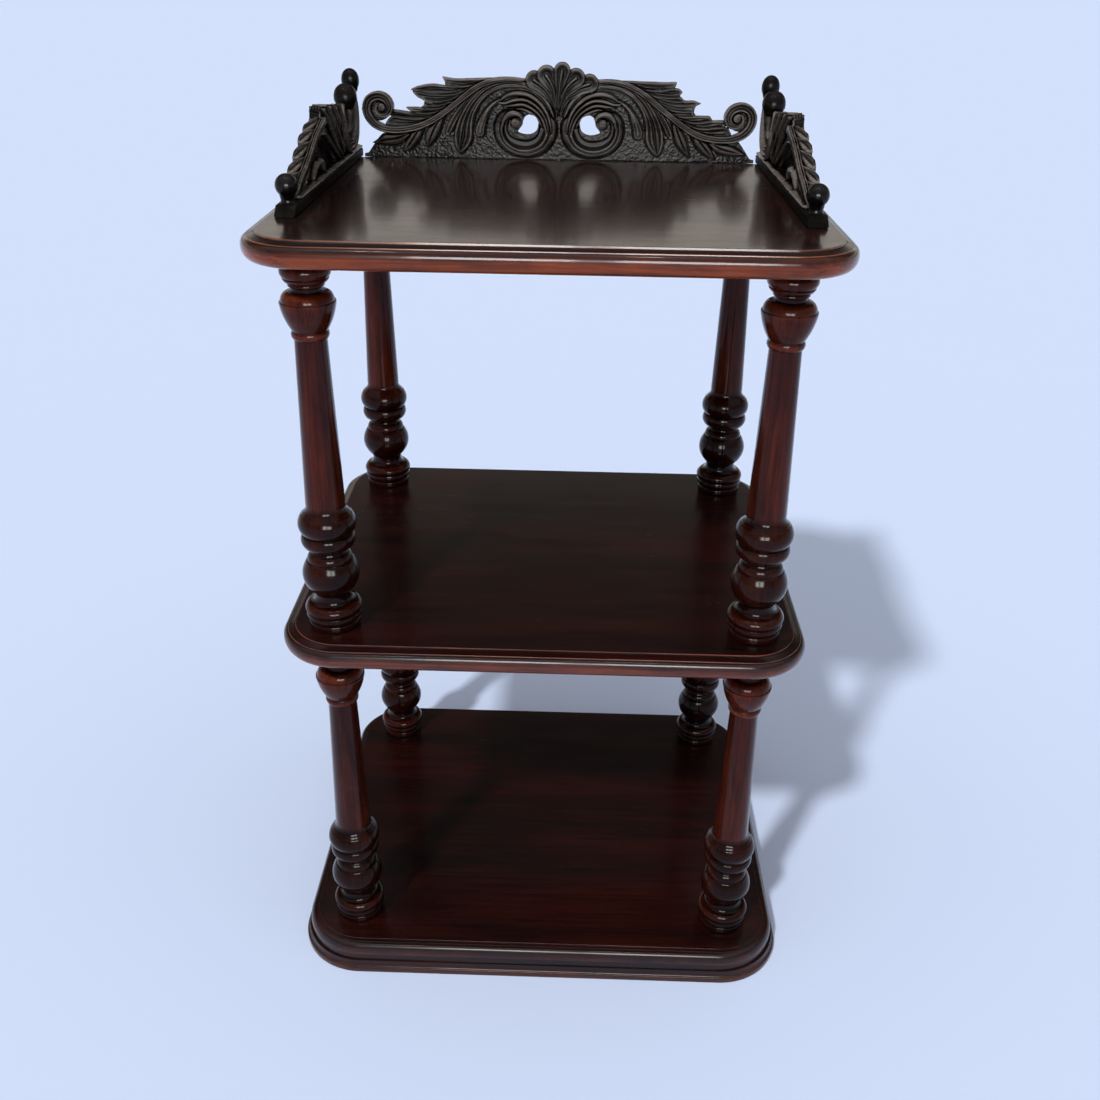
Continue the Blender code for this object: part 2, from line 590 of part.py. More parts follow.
def side_gallery(material):
    """The right side gallery: half the back's design drawn out, stood on its rail facing inwards."""
    scale_x = SIDE_LENGTH / SIDE_END_SHARE
    scale_y = SIDE_HEIGHT
    relief = SIDE_THICKNESS - SIDE_GROUND
    outline = [(p.x * scale_x, p.y * scale_y) for p in outline_path(SIDE_OUTLINE_SHARES, 2)]
    gallery = panel("side_gallery_right", outline, (), SIDE_GROUND)
    pocket = panel("side_pocket", [(x * scale_x, y * scale_y) for x, y in SIDE_POCKET_SHARES],
                   (), SIDE_POCKET_DEPTH + OVERRUN)
    pocket.data.transform(Matrix.Translation((0, 0, SIDE_GROUND - SIDE_POCKET_DEPTH)))
    boolean(gallery, [pocket], "DIFFERENCE")
    members = carving("side_carving", SIDE_CURVES_SHARES, SIDE_LEAVES_SHARES, SIDE_EYES_SHARES,
                      scale_x, scale_y, relief, SIDE_GROUND)
    for number, (x, y, half_x, half_y) in enumerate(SIDE_LOBES_SHARES):
        centre = (x * scale_x, y * scale_y, SIDE_THICKNESS / 2)
        half_sizes = (half_x * scale_x, half_y * scale_y, SIDE_KNOB_THICKNESS / 2)
        members.append(ball(f"side_lobe_{number}", centre, half_sizes))
    boolean(gallery, members, "UNION")
    stand = Matrix(((0, 0, -1, RAIL_INNER_X + SIDE_INNER_SETBACK + SIDE_THICKNESS),
                    (-1, 0, 0, RAIL_BACK_Y), (0, 1, 0, SIDE_FOOT), (0, 0, 0, 1)))
    gallery.data.transform(stand)
    settle(gallery, "side_gallery_right", material)
    places = [(SIDE_DOWEL_X, RAIL_BACK_Y - share * SIDE_LENGTH) for _, share in SIDE_DOWEL_SHARES]
    top = SIDE_FOOT + DOWEL_DEPTH + DOWEL_CLEARANCE
    bore(gallery, DOWEL_RADIUS + DOWEL_CLEARANCE, SIDE_FOOT - OVERRUN, top, places, DOWEL_SIDES)
    return gallery


def mirror_copy(obj, name):
    """A mirror image of a finished solid across the middle plane, with its faces turned out."""
    bm = bmesh.new()
    bm.from_mesh(obj.data)
    bmesh.ops.scale(bm, vec=(-1, 1, 1), verts=bm.verts[:])
    bmesh.ops.reverse_faces(bm, faces=bm.faces[:])
    mesh = bpy.data.meshes.new(name)
    bm.to_mesh(mesh)
    bm.free()
    return add_object(name, mesh, obj.data.materials[0])


def gallery_rail(material):
    """The right rail under a side gallery, with its front end bevelled."""
    bm = bmesh.new()
    low = Vector((RAIL_INNER_X, RAIL_FRONT_Y, GALLERY_FOOT))
    high = Vector((RAIL_OUTER_X, RAIL_BACK_Y, RAIL_TOP))
    place = Matrix.Translation((low + high) / 2) @ Matrix.Diagonal((*(high - low), 1))
    bmesh.ops.create_cube(bm, size=1, matrix=place)
    middle = (low + high) / 2
    for vert in bm.verts:
        if vert.co.y < middle.y and vert.co.z > middle.z:
            vert.co.y += RAIL_BEVEL
    rail = add_object("gallery_rail_right", finish_mesh(bm, "gallery_rail_right"), material)
    edge = rail.modifiers.new("round", "BEVEL")
    edge.width = RAIL_ROUND
    edge.segments = 1
    edge.limit_method = "ANGLE"
    apply_modifiers(rail)
    floor = RAIL_TOP - FINIAL_SPIGOT_LENGTH - SOCKET_CLEARANCE
    top = RAIL_TOP + OVERRUN
    socket = FINIAL_SPIGOT_RADIUS + SOCKET_CLEARANCE
    bore(rail, socket, floor, top, [(RAIL_CENTRE_X, FINIAL_Y)], DOWEL_SIDES)
    places = [(SIDE_DOWEL_X, RAIL_BACK_Y - share * SIDE_LENGTH) for _, share in SIDE_DOWEL_SHARES]
    bore(rail, DOWEL_RADIUS + DOWEL_CLEARANCE, GALLERY_FOOT - OVERRUN, top, places, DOWEL_SIDES)
    return rail


def finial_mesh():
    """A ball on a short neck, with a spigot below."""
    outside = [(FINIAL_FOOT_RADIUS, 0.0), (FINIAL_FOOT_RADIUS, FINIAL_HEIGHT * FINIAL_FOOT_SHARE),
               (FINIAL_NECK_RADIUS, FINIAL_HEIGHT * FINIAL_NECK_START_SHARE),
               (FINIAL_NECK_RADIUS, FINIAL_HEIGHT * FINIAL_NECK_END_SHARE)]
    outside += ball_profile()
    foot = [(FINIAL_SPIGOT_RADIUS, 0.0), (FINIAL_SPIGOT_RADIUS, -FINIAL_SPIGOT_LENGTH),
            (0.0, -FINIAL_SPIGOT_LENGTH)]
    return turned("finial", list(reversed(outside)) + foot, FINIAL_SIDES)


def ball_profile():
    """The finial ball's outer profile, above its neck and up to its crown."""
    centre = FINIAL_HEIGHT - FINIAL_RADIUS
    start = -math.acos(FINIAL_NECK_RADIUS / FINIAL_RADIUS)
    points = []
    for step in range(1, FINIAL_STEPS):
        angle = start + (math.radians(90) - start) * step / FINIAL_STEPS
        points.append((FINIAL_RADIUS * math.cos(angle), centre + FINIAL_RADIUS * math.sin(angle)))
    return points + [(0.0, FINIAL_HEIGHT)]


def base(materials):
    """The base board on its mitred plinth rails."""
    mesh = moulded_board("base_board", BASE_WIDTH - 2 * BOARD_OVERHANG_SETBACK,
                         BASE_DEPTH - 2 * BOARD_OVERHANG_SETBACK, BASE_CORNER - BOARD_OVERHANG_SETBACK,
                         BASE_TOP, BASE_HEIGHT - PLINTH_HEIGHT - SEAT_GAP,
                         BASE_FIELD_INSET - BOARD_OVERHANG_SETBACK, BASE_EDGE_SHARES)
    board = add_object("base_board", mesh, materials["shelf"])
    bore(board, SOCKET_RADIUS, BASE_TOP - SOCKET_DEPTH, BASE_TOP + OVERRUN, post_places(), POST_SIDES)
    smooth_shading(board)
    frame = moulded_board("plinth", BASE_WIDTH, BASE_DEPTH, BASE_CORNER, PLINTH_HEIGHT,
                          PLINTH_HEIGHT, PLINTH_LIP, PLINTH_EDGE_SHARES)
    for name, turn in (("front", 0), ("right", 90), ("back", 180), ("left", 270)):
        rail = add_object("plinth_" + name, frame.copy(), materials["edge"])
        boolean(rail, [plinth_wedge(name, turn)], "INTERSECT")
        smooth_shading(rail)
    bpy.data.meshes.remove(frame)


def plinth_wedge(name, turn):
    """The mitred space of one plinth rail, half a gap clear of its neighbours."""
    along, across = (BASE_WIDTH, BASE_DEPTH) if turn in (0, 180) else (BASE_DEPTH, BASE_WIDTH)
    outer = across / 2 + OVERRUN
    inner = across / 2 - PLINTH_RAIL_WIDTH
    reach = along / 2 - across / 2
    mitre = SEAT_GAP / math.sqrt(2)
    near = inner + reach - mitre
    far = outer + reach - mitre
    outline = [(-near, -inner), (-far, -outer), (far, -outer), (near, -inner)]
    wedge = panel("plinth_wedge_" + name, outline, (), PLINTH_HEIGHT + 2 * OVERRUN)
    wedge.data.transform(Matrix.Rotation(math.radians(turn), 4, "Z") @ Matrix.Translation((0, 0, -OVERRUN)))
    return wedge


def post_places():
    return [(side_x * POST_X, side_y * POST_Y) for side_x in (-1, 1) for side_y in (-1, 1)]


def shelves(materials):
    """The middle shelf, bored through for the posts, and the top shelf, with blind holes."""
    for name, top in (("middle_shelf", MIDDLE_TOP), ("top_shelf", TOP_TOP)):
        mesh = moulded_board(name, SHELF_WIDTH, SHELF_DEPTH, SHELF_CORNER, top,
                             SHELF_THICKNESS, FIELD_INSET, SHELF_EDGE_SHARES)
        shelf = add_object(name, mesh, materials["shelf"])
        under = top - SHELF_THICKNESS
        if name == "middle_shelf":
            bore(shelf, SOCKET_RADIUS, under - OVERRUN, top + OVERRUN, post_places(), POST_SIDES)
        else:
            bore(shelf, SOCKET_RADIUS, under - OVERRUN, under + SOCKET_DEPTH, post_places(), POST_SIDES)
            places = [(x, y) for _, x, y, _ in dowel_places()]
            floor = top - DOWEL_DEPTH - DOWEL_CLEARANCE
            bore(shelf, DOWEL_RADIUS + DOWEL_CLEARANCE, floor, top + OVERRUN, places, DOWEL_SIDES)
        smooth_shading(shelf)


def posts(materials):
    """Four lower posts with sockets in their heads, and four upper ones that plug into them."""
    lower = post_mesh("lower_post", SPIGOT_LENGTH, True)
    upper = post_mesh("upper_post", THROUGH_SPIGOT, False)
    for mesh in (lower, upper):
        mesh.materials.append(materials["post"])
    for level, mesh, foot in (("lower", lower, BASE_TOP), ("upper", upper, MIDDLE_TOP)):
        for depth, side_y in (("front", -1), ("back", 1)):
            for side, side_x in (("left", -1), ("right", 1)):
                post = add_object(f"{level}_post_{depth}_{side}", mesh)
                post.location = (side_x * POST_X, side_y * POST_Y, foot + SEAT_GAP)
                smooth_shading(post)


def dowel_places():
    """Each gallery dowel's name, place and upper end."""
    places = []
    for name, share in BACK_DOWEL_SHARES:
        places.append(("back_dowel_" + name, share * GALLERY_HALF_LENGTH, GALLERY_DOWEL_Y,
                       GALLERY_FOOT + DOWEL_DEPTH))
    for side, side_x in (("left", -1), ("right", 1)):
        for name, share in SIDE_DOWEL_SHARES:
            places.append((f"side_dowel_{side}_{name}", side_x * SIDE_DOWEL_X,
                           RAIL_BACK_Y - share * SIDE_LENGTH, SIDE_FOOT + DOWEL_DEPTH))
    return places


def dowels(materials):
    """The dowels that hold the galleries, each reaching from the top shelf into its gallery."""
    for name, x, y, top in dowel_places():
        mesh = cylinder(name, DOWEL_RADIUS, TOP_TOP - DOWEL_DEPTH, top, x, y, DOWEL_SIDES)
        smooth_shading(add_object(name, mesh, materials["dowel"]))


def galleries(materials):
    back_gallery(materials["carving"])
    right = side_gallery(materials["carving"])
    mirror_copy(right, "side_gallery_left")
    rail = gallery_rail(materials["carving"])
    mirror_copy(rail, "gallery_rail_left")
    for name in ("back_gallery", "side_gallery_right", "side_gallery_left"):
        smooth_shading(bpy.data.objects[name])
    finial = finial_mesh()
    finial.materials.append(materials["post"])
    for side, side_x in (("left", -1), ("right", 1)):
        obj = add_object("finial_" + side, finial)
        obj.location = (side_x * RAIL_CENTRE_X, FINIAL_Y, RAIL_TOP + SEAT_GAP)
        smooth_shading(obj)


def main():
    clear_scene()
    materials = {
        "shelf": wood("shelf_mahogany", (0.045, 0.012, 0.008), 0.12),
        "edge": wood("edge_mahogany", (0.080, 0.022, 0.012), 0.14),
        "post": wood("post_mahogany", (0.050, 0.010, 0.007), 0.12),
        "carving": wood("carved_mahogany", (0.022, 0.012, 0.009), 0.22),
        "dowel": wood("dowel_birch", (0.45, 0.30, 0.17), 0.60),
    }
    base(materials)
    shelves(materials)
    posts(materials)
    galleries(materials)
    dowels(materials)


main()
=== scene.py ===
"""Carved shelf table: the looks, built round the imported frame.

Metres, +Z up, front towards -Y, as in the frame. Each piece takes its size and place from
the box of the node that it replaces. Drawings of mouldings, turnings and carving are in
millimetres of the real object and are scaled to that box.
"""

import math

import bmesh
import bpy
import numpy as np
from mathutils import Matrix, Vector


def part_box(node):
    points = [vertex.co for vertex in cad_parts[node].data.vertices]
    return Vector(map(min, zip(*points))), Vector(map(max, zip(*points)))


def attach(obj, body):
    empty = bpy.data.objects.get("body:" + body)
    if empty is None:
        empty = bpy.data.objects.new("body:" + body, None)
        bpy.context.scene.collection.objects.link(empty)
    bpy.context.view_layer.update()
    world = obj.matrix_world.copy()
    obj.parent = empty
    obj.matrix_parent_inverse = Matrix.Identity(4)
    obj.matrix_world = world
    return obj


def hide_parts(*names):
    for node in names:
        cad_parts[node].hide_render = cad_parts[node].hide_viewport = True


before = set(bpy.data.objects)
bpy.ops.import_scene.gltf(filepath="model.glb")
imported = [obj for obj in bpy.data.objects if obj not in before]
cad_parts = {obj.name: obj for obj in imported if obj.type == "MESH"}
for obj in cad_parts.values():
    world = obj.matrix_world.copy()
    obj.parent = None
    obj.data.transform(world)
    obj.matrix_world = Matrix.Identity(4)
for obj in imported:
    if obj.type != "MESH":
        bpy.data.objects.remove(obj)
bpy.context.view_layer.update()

MM = 0.001

# Camera, fitted to the photograph: place in metres, angles in radians
CAMERA_PLACE = Vector((0.0246, -1.0842, 0.9731))
CAMERA_YAW = -0.0214
CAMERA_PITCH = 0.4851
CAMERA_ROLL = 0.0150
CAMERA_LENS = 36.99
CAMERA_SENSOR = 36.0
CAMERA_CLIP = (0.05, 200)

# Angles in degrees above which an edge stays sharp
SHARP_MOULDING = 34
SHARP_TURNING = 38
SHARP_BAR = 30
SHARP_CARVING = 60

# Boards and plinth, in millimetres. Below THUMB_DROP the top's edge has its own wood, redder and
# paler than the lower shelves' edges, partly as painted light
SHELF_CORNER = 58.0
BASE_CORNER = 65.5
PLINTH_CORNER = 68.0
PLINTH_WIDTH = 60.0
PLINTH_SIDES = ("back", "left", "front", "right")
CORNER_STEPS = 28
THUMB_DROP = 4.4

# Edge mouldings from the field outwards and down: (inset from the edge, drop, wear of the
# polish, in places partly a painted highlight, and 1 for an elliptic arc that starts flat, -1
# for one that starts steep, 0 for a straight)
# On the shelves the wear on the field's arris and on the small bead at the thumb's top is partly a
# painted highlight line
SHELF_EDGE = (
    (14.0, 0.0, 0.10, 0), (12.5, 0.0, 0.25, 0), (11.9, 0.25, 0.75, 1), (11.65, 1.9, 0.00, 0),
    (11.1, 2.1, 0.00, 0), (10.7, 1.6, 0.15, 0), (5.2, 3.4, 0.15, 0), (4.7, 3.9, 0.90, 1),
    (4.5, 4.5, 0.05, 0), (0.0, 10.8, 0.45, 1), (0.0, 12.0, 0.70, 0), (7.6, 22.0, 1.00, -1),
)
BASE_EDGE = (
    (11.1, 0.0, 0.05, 0), (10.8, 0.30, 0.50, 1), (10.7, 1.5, 0.00, 0), (10.3, 1.6, 0.00, 0),
    (8.0, 1.6, 0.30, 0), (7.8, 3.0, 0.05, 0), (7.2, 3.2, 0.05, 0), (1.3, 12.5, 0.35, 1),
    (1.3, 14.0, 0.40, 0), (1.9, 14.6, 0.10, 0), (1.9, 15.6, 0.10, 0), (1.3, 21.2, 0.25, 0),
)
PLINTH_EDGE = (
    (3.5, 0.0, 0.10, 0), (3.3, 1.0, 0.10, 0), (0.9, 6.8, 0.45, -1), (0.0, 8.6, 0.50, 1),
    (0.0, 12.3, 0.55, 0), (1.0, 13.5, 0.35, -1),
)
ARC_STEPS = 10

# Posts: heights above the shelf below, radius, and how far the stretch bulges as a share of
# its length, drawn for a post POST_DRAWN_HEIGHT tall whose widest turning is POST_DRAWN_RADIUS
POST_DRAWN_HEIGHT = 347.4
POST_DRAWN_RADIUS = 26.7
POST_START_RADIUS = 23.6
POST_MEMBERS = (
    (0.8, 24.3, 0.20), (6.0, 24.3, 0.03), (6.9, 23.5, 0.0), (7.5, 23.7, 0.0),
    (15.0, 25.2, 0.20), (24.0, 24.4, 0.21), (25.0, 23.2, 0.0), (31.5, 16.8, -0.20),
    (33.0, 16.9, 0.0), (38.5, 18.8, -0.10), (39.2, 20.2, 0.0), (69.0, 21.8, 0.185),
    (69.6, 20.7, 0.0), (70.4, 20.9, 0.0), (77.5, 17.0, 0.12), (79.5, 16.4, 0.0),
    (83.0, 21.0, -0.15), (83.8, 22.2, 0.0), (96.0, 23.6, 0.17), (96.6, 22.6, 0.0),
    (97.3, 23.2, 0.0), (116.0, 23.2, 0.185), (116.7, 22.0, 0.0), (117.6, 21.6, 0.0),
    (127.0, 18.0, -0.15), (278.0, 14.0, 0.0), (279.4, 14.2, 0.0), (279.9, 15.0, 0.0),
    (286.5, 15.2, 0.17), (287.3, 15.6, 0.0), (310.0, 23.8, 0.05), (311.2, 23.6, 0.2),
    (311.8, 22.6, 0.0), (312.6, 22.6, 0.0), (320.5, 13.4, 0.20), (323.0, 13.2, 0.0),
    (323.8, 14.6, 0.0), (326.0, 15.2, 0.25), (326.8, 16.0, 0.0), (330.5, 19.4, 0.12),
    (331.1, 18.8, 0.0), (331.8, 19.6, 0.0), (341.0, 19.8, 0.19), (341.8, 18.9, 0.0),
    (347.4, 20.0, 0.05),
)
POST_SIDES = 96
ARC_STEP = 0.9

# Gap in metres between a turned piece's ends and the faces that they stand on or carry
SEAT = 0.3 * MM

# A turning's wear: how far up and down it's compared, and how proud is fully worn
RIM_REACH = 5.0
RIM_RISE = 4.0

# Darker colour on a post: full below the first height and fading over the second, and
# again, to a share, in the head
DARK_LOWER = (132.0, 14.0)
DARK_HEAD = (282.0, 8.0)
DARK_HEAD_SHARE = 0.40

# Ball finial: foot, neck and ball in millimetres
FINIAL_FOOT_RADIUS = 6.4
FINIAL_NECK_RADIUS = 6.3
FINIAL_NECK_TOP = 4.6
FINIAL_NECK_HOLLOW = -0.12
BALL_STEPS = 40
FINIAL_SIDES = 72

# Rails under the side galleries, in millimetres
RAIL_BEVEL = 10.5
RAIL_ROUND = 1.3
RAIL_WEAR = 0.3

# Woods. dark and red are the figure's two colours, worn is the colour of rubbed places, on the
# carving partly a painted sheen on its ridges; rub is how patchy and how even the wear is, and
# where it starts and is complete
PLINTH_LOOK = dict(dark=(0.010, 0.0035, 0.0028), red=(0.034, 0.008, 0.005),
                   worn=(0.12, 0.034, 0.016), roughness=0.24)
WOODS = {
    # The shelves are one mahogany in lit and shaded copies: the top's woods paler, partly as
    # painted light, and shelf_wood, for the middle shelf and the base, darker as painted shade
    # under the shelves above
    "top_shelf_wood": dict(
        grain="x", dark=(0.009, 0.004, 0.003), red=(0.026, 0.0062, 0.0045),
        worn=(0.36, 0.085, 0.016), roughness=0.24, ior=1.40, coat=0.4),
    "top_edge_wood_with_painted_light": dict(
        grain="x", dark=(0.020, 0.005, 0.003), red=(0.060, 0.010, 0.004),
        worn=(0.28, 0.050, 0.009), roughness=0.22, ior=1.26, coat=1.0, coat_roughness=0.05),
    "shelf_wood": dict(
        grain="x", dark=(0.006, 0.0024, 0.0019), red=(0.024, 0.0042, 0.0030),
        worn=(0.20, 0.042, 0.016), roughness=0.24, ior=1.36, coat=0.3),
    "plinth_side_wood": dict(grain="y", **PLINTH_LOOK),
    "plinth_wood": dict(grain="x", **PLINTH_LOOK),
    "post_wood": dict(
        grain="z", dark=(0.016, 0.0040, 0.0030), red=(0.062, 0.009, 0.005),
        worn=(0.15, 0.026, 0.009), roughness=0.18, ior=1.18, coat=0.7, coat_roughness=0.05),
    # The carving's pale grey worn colour is partly wax and dust on its ridges, partly a painted
    # highlight
    "carved_wood": dict(
        grain="x", dark=(0.0024, 0.0021, 0.0018), red=(0.0080, 0.0058, 0.0046),
        worn=(0.175, 0.152, 0.136), roughness=0.28, ior=1.21, coat=0.10, coat_roughness=0.10,
        matting=0.08, rub=(0.8, 0.4, 0.40, 0.78)),
    "rail_wood": dict(
        grain="y", dark=(0.0040, 0.0036, 0.0032), red=(0.0060, 0.0050, 0.0044),
        worn=(0.060, 0.050, 0.042), roughness=0.50, ior=1.08, coat=0.0),
    "ball_wood": dict(
        grain="z", dark=(0.0020, 0.0018, 0.0018), red=(0.0036, 0.0028, 0.0026),
        worn=(0.010, 0.008, 0.007), roughness=0.20, ior=1.23, coat=0.35, coat_roughness=0.04),
}
DARKENING_TINT = (0.07, 0.05, 0.05)
BLACK, WHITE = (0, 0, 0), (1, 1, 1)

# Noises drawn out along the grain: (scale along it, scale across it, detail, roughness)
FIGURE = (3.0, 22.0, 4.0, 0.6)
STREAK = (9.0, 320.0, 5.0, 0.7)
PORES = (45.0, 1500.0, 2.0, 0.6)
RUBBED = (16.0, 60.0, 4.0, 0.6)
POLISH = (14.0, 60.0, 3.0, 0.6)
WAVES = (10.0, 40.0, 2.0, 0.6)
BIRCH_STREAK = (40.0, 900.0, 4.0, 0.6)
GRIT_SCALE = 620.0

# Bumps' depths in millimetres
PORE_DEPTH = 0.05
WAVE_DEPTH = 0.2

# Stage and light
FLOOR_COLOUR = (0.665, 0.768, 0.991, 1.0)
FLOOR_HALF_SIZE = 60
SUN_DIRECTION = (-0.45, -0.80, 1.0)
SUN_ENERGY = 2.03
SUN_WIDTH_DEGREES = 4.0

# The room by the height of a direction: as the front side sees it, and behind the table
FRONT_SKY = ((0.0, (0.64, 0.67, 0.72)), (0.10, (0.64, 0.64, 0.64)), (0.30, (0.30, 0.30, 0.30)),
             (0.55, (0.45, 0.45, 0.46)), (0.80, (0.72, 0.72, 0.74)), (1.0, (0.80, 0.80, 0.82)))
REAR_SKY = ((0.0, (0.665, 0.768, 0.991)), (0.05, (0.60, 0.64, 0.70)), (0.10, (0.42, 0.40, 0.38)),
            (0.175, (0.34, 0.32, 0.29)), (0.205, (0.88, 0.82, 0.74)), (0.235, (0.86, 0.80, 0.72)),
            (0.36, (0.16, 0.14, 0.13)), (0.44, (0.05, 0.045, 0.04)), (0.68, (0.05, 0.05, 0.05)),
            (0.86, (0.50, 0.50, 0.51)), (1.0, (0.80, 0.80, 0.82)))

# Lit panes that show in the polish only: (name, place, aim, width, height, radiance)
PANES = (
    ("window_left", (-0.14, -1.40, 1.00), (-0.14, 0.0, 0.6), 0.32, 0.42, 22),
    ("window_right", (0.26, -1.40, 1.00), (0.26, 0.0, 0.6), 0.32, 0.42, 21),
    ("spot_left", (-0.45, -0.40, 2.4), (0.0, 0.0, 0.6), 0.09, 0.09, 60),
    ("spot_right", (0.20, -0.45, 2.4), (0.0, 0.0, 0.6), 0.09, 0.09, 60),
)


def drawn_arc(start, end, bend):
    """Points after start up to end: a straight, or a quarter of an ellipse."""
    if not bend:
        return [end]
    points = []
    for step in range(1, ARC_STEPS + 1):
        turn = math.pi / 2 * step / ARC_STEPS
        if bend > 0:
            across, down = math.sin(turn), 1 - math.cos(turn)
        else:
            across, down = 1 - math.cos(turn), math.sin(turn)
        points.append((start[0] + (end[0] - start[0]) * across,
                       start[1] + (end[1] - start[1]) * down,
                       start[2] + (end[2] - start[2]) * step / ARC_STEPS))
    return points


def moulding(members):
    """A moulding's points, (inset, drop, wear), from its members."""
    points = [members[0][:3]]
    for inset, drop, wear, bend in members[1:]:
        points += drawn_arc(points[-1], (inset, drop, wear), bend)
    return points


def outline(half_width, half_depth, corner):
    """A rectangle with round corners, counter-clockwise from the right side's rear corner."""
    points = []
    for side_x, side_y, start in ((1, 1, 0), (-1, 1, 90), (-1, -1, 180), (1, -1, 270)):
        for step in range(CORNER_STEPS + 1):
            angle = math.radians(start + 90 * step / CORNER_STEPS)
            points.append((side_x * (half_width - corner) + corner * math.cos(angle),
                           side_y * (half_depth - corner) + corner * math.sin(angle)))
    return points


def new_object(name, data):
    """An object in the scene, of a mesh, a lamp or a camera."""
    thing = bpy.data.objects.new(name, data)
    bpy.context.scene.collection.objects.link(thing)
    return thing


def raw_mesh(bm, name):
    """A bmesh as a mesh, as it is."""
    mesh = bpy.data.meshes.new(name)
    bm.to_mesh(mesh)
    bm.free()
    return mesh


def mesh_of(bm, name, sharp_degrees):
    """Finishes a bmesh: faces out, smooth, with sharp edges where the surface really turns."""
    bmesh.ops.recalc_face_normals(bm, faces=bm.faces[:])
    mesh = raw_mesh(bm, name)
    mesh.shade_smooth()
    mesh.set_sharp_from_angle(angle=math.radians(sharp_degrees))
    return mesh


def dress(piece, material, node):
    """Gives a piece its material and its body, and hides the node that it replaces."""
    piece.data.materials.clear()
    piece.data.materials.append(material)
    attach(piece, "root")
    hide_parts(node)
    return piece


def board(node, corner, members):
    """A moulded board in a node's box: rings of its outline down the edge, closed by two faces."""
    low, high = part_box(node)
    half_width, half_depth = (high.x - low.x) / 2 / MM, (high.y - low.y) / 2 / MM
    thickness = (high.z - low.z) / MM
    points = moulding(members)
    scale = thickness / points[-1][1]
    bm = bmesh.new()
    wear = bm.verts.layers.float.new("wear")
    rings = []
    for inset, drop, worn in points:
        ring = []
        for x, y in outline(half_width - inset, half_depth - inset, corner - inset):
            vert = bm.verts.new((x * MM, y * MM, high.z - drop * scale * MM))
            vert[wear] = worn
            ring.append(vert)
        rings.append(ring)
    for upper, lower in zip(rings, rings[1:]):
        for i in range(len(upper)):
            bm.faces.new((upper[i - 1], lower[i - 1], lower[i], upper[i]))
    bm.faces.new(rings[0])
    bm.faces.new(rings[-1])
    return new_object(node + "_moulded", mesh_of(bm, node, SHARP_MOULDING))


def plinth_rail(node, corner, members):
    """One of the plinth's four mitred rails: the quarter of the frame that its node holds."""
    low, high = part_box(node)
    frame_low = [min(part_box("plinth_" + side)[0][axis] for side in PLINTH_SIDES)
                 for axis in (0, 1)]
    half_width, half_depth = -frame_low[0] / MM, -frame_low[1] / MM
    side = PLINTH_SIDES.index(node.split("_")[1])
    first = side * (CORNER_STEPS + 1) + CORNER_STEPS // 2
    count = CORNER_STEPS + 2
    section = [(inset, high.z - drop * MM, worn) for inset, drop, worn in moulding(members)]
    section += [(PLINTH_WIDTH, low.z, 0.0), (PLINTH_WIDTH, high.z, 0.0)]
    bm = bmesh.new()
    wear = bm.verts.layers.float.new("wear")
    lines = []
    for inset, height, worn in section:
        ring = outline(half_width - inset, half_depth - inset, corner - inset)
        line = []
        for i in range(count):
            x, y = ring[(first + i) % len(ring)]
            vert = bm.verts.new((x * MM, y * MM, height))
            vert[wear] = worn
            line.append(vert)
        lines.append(line)
    for k in range(len(lines)):
        near, far = lines[k - 1], lines[k]
        for i in range(count - 1):
            bm.faces.new((near[i], near[i + 1], far[i + 1], far[i]))
    bm.faces.new([line[0] for line in lines])
    bm.faces.new([line[-1] for line in reversed(lines)])
    return new_object(node + "_moulded", mesh_of(bm, node, SHARP_MOULDING))


def bulged(start, end, bulge):
    """Points after start up to end, as (height, radius), along an arc off the chord."""
    length = math.hypot(end[0] - start[0], end[1] - start[1])
    count = max(1, round(length / ARC_STEP)) if bulge else 1
    points = []
    for step in range(1, count + 1):
        along = step / count
        rise = 4 * along * (1 - along) * bulge
        points.append((start[0] + (end[0] - start[0]) * along - (end[1] - start[1]) * rise,
                       start[1] + (end[1] - start[1]) * along + (end[0] - start[0]) * rise))
    return points


def turn(name, profile, centre, foot, sides, dark_of):
    """Turns a profile of (height, radius), in millimetres from the foot up, about an axis."""
    bm = bmesh.new()
    wear = bm.verts.layers.float.new("wear")
    dark = bm.verts.layers.float.new("dark")
    rings = []
    for k, (height, radius) in enumerate(profile):
        ring = []
        worn = rim_wear(profile, k)
        for i in range(sides):
            angle = 2 * math.pi * i / sides
            vert = bm.verts.new((centre.x + radius * MM * math.cos(angle),
                                 centre.y + radius * MM * math.sin(angle), foot + height * MM))
            vert[wear] = worn
            vert[dark] = dark_of(height)
            ring.append(vert)
        rings.append(ring)
    for lower, upper in zip(rings, rings[1:]):
        for i in range(sides):
            bm.faces.new((lower[i - 1], lower[i], upper[i], upper[i - 1]))
    bm.faces.new(rings[0])
    bm.faces.new(rings[-1])
    return new_object(name, mesh_of(bm, name, SHARP_TURNING))


def rim_wear(profile, k):
    """More worn where a turning stands proud of what is above and below, less in its quirks."""
    height, radius = profile[k]
    near = [r for h, r in profile if abs(h - height) < RIM_REACH]
    return min(1.0, max(0.0, 0.5 + (radius - sum(near) / len(near)) / RIM_RISE))


def post_dark(height):
    """How much darker a post is at a height: most in the lower turnings, least on the shaft."""
    lower = min(1.0, max(0.0, (DARK_LOWER[0] - height) / DARK_LOWER[1]))
    head = min(1.0, max(0.0, (height - DARK_HEAD[0]) / DARK_HEAD[1]))
    return max(lower, DARK_HEAD_SHARE * head)


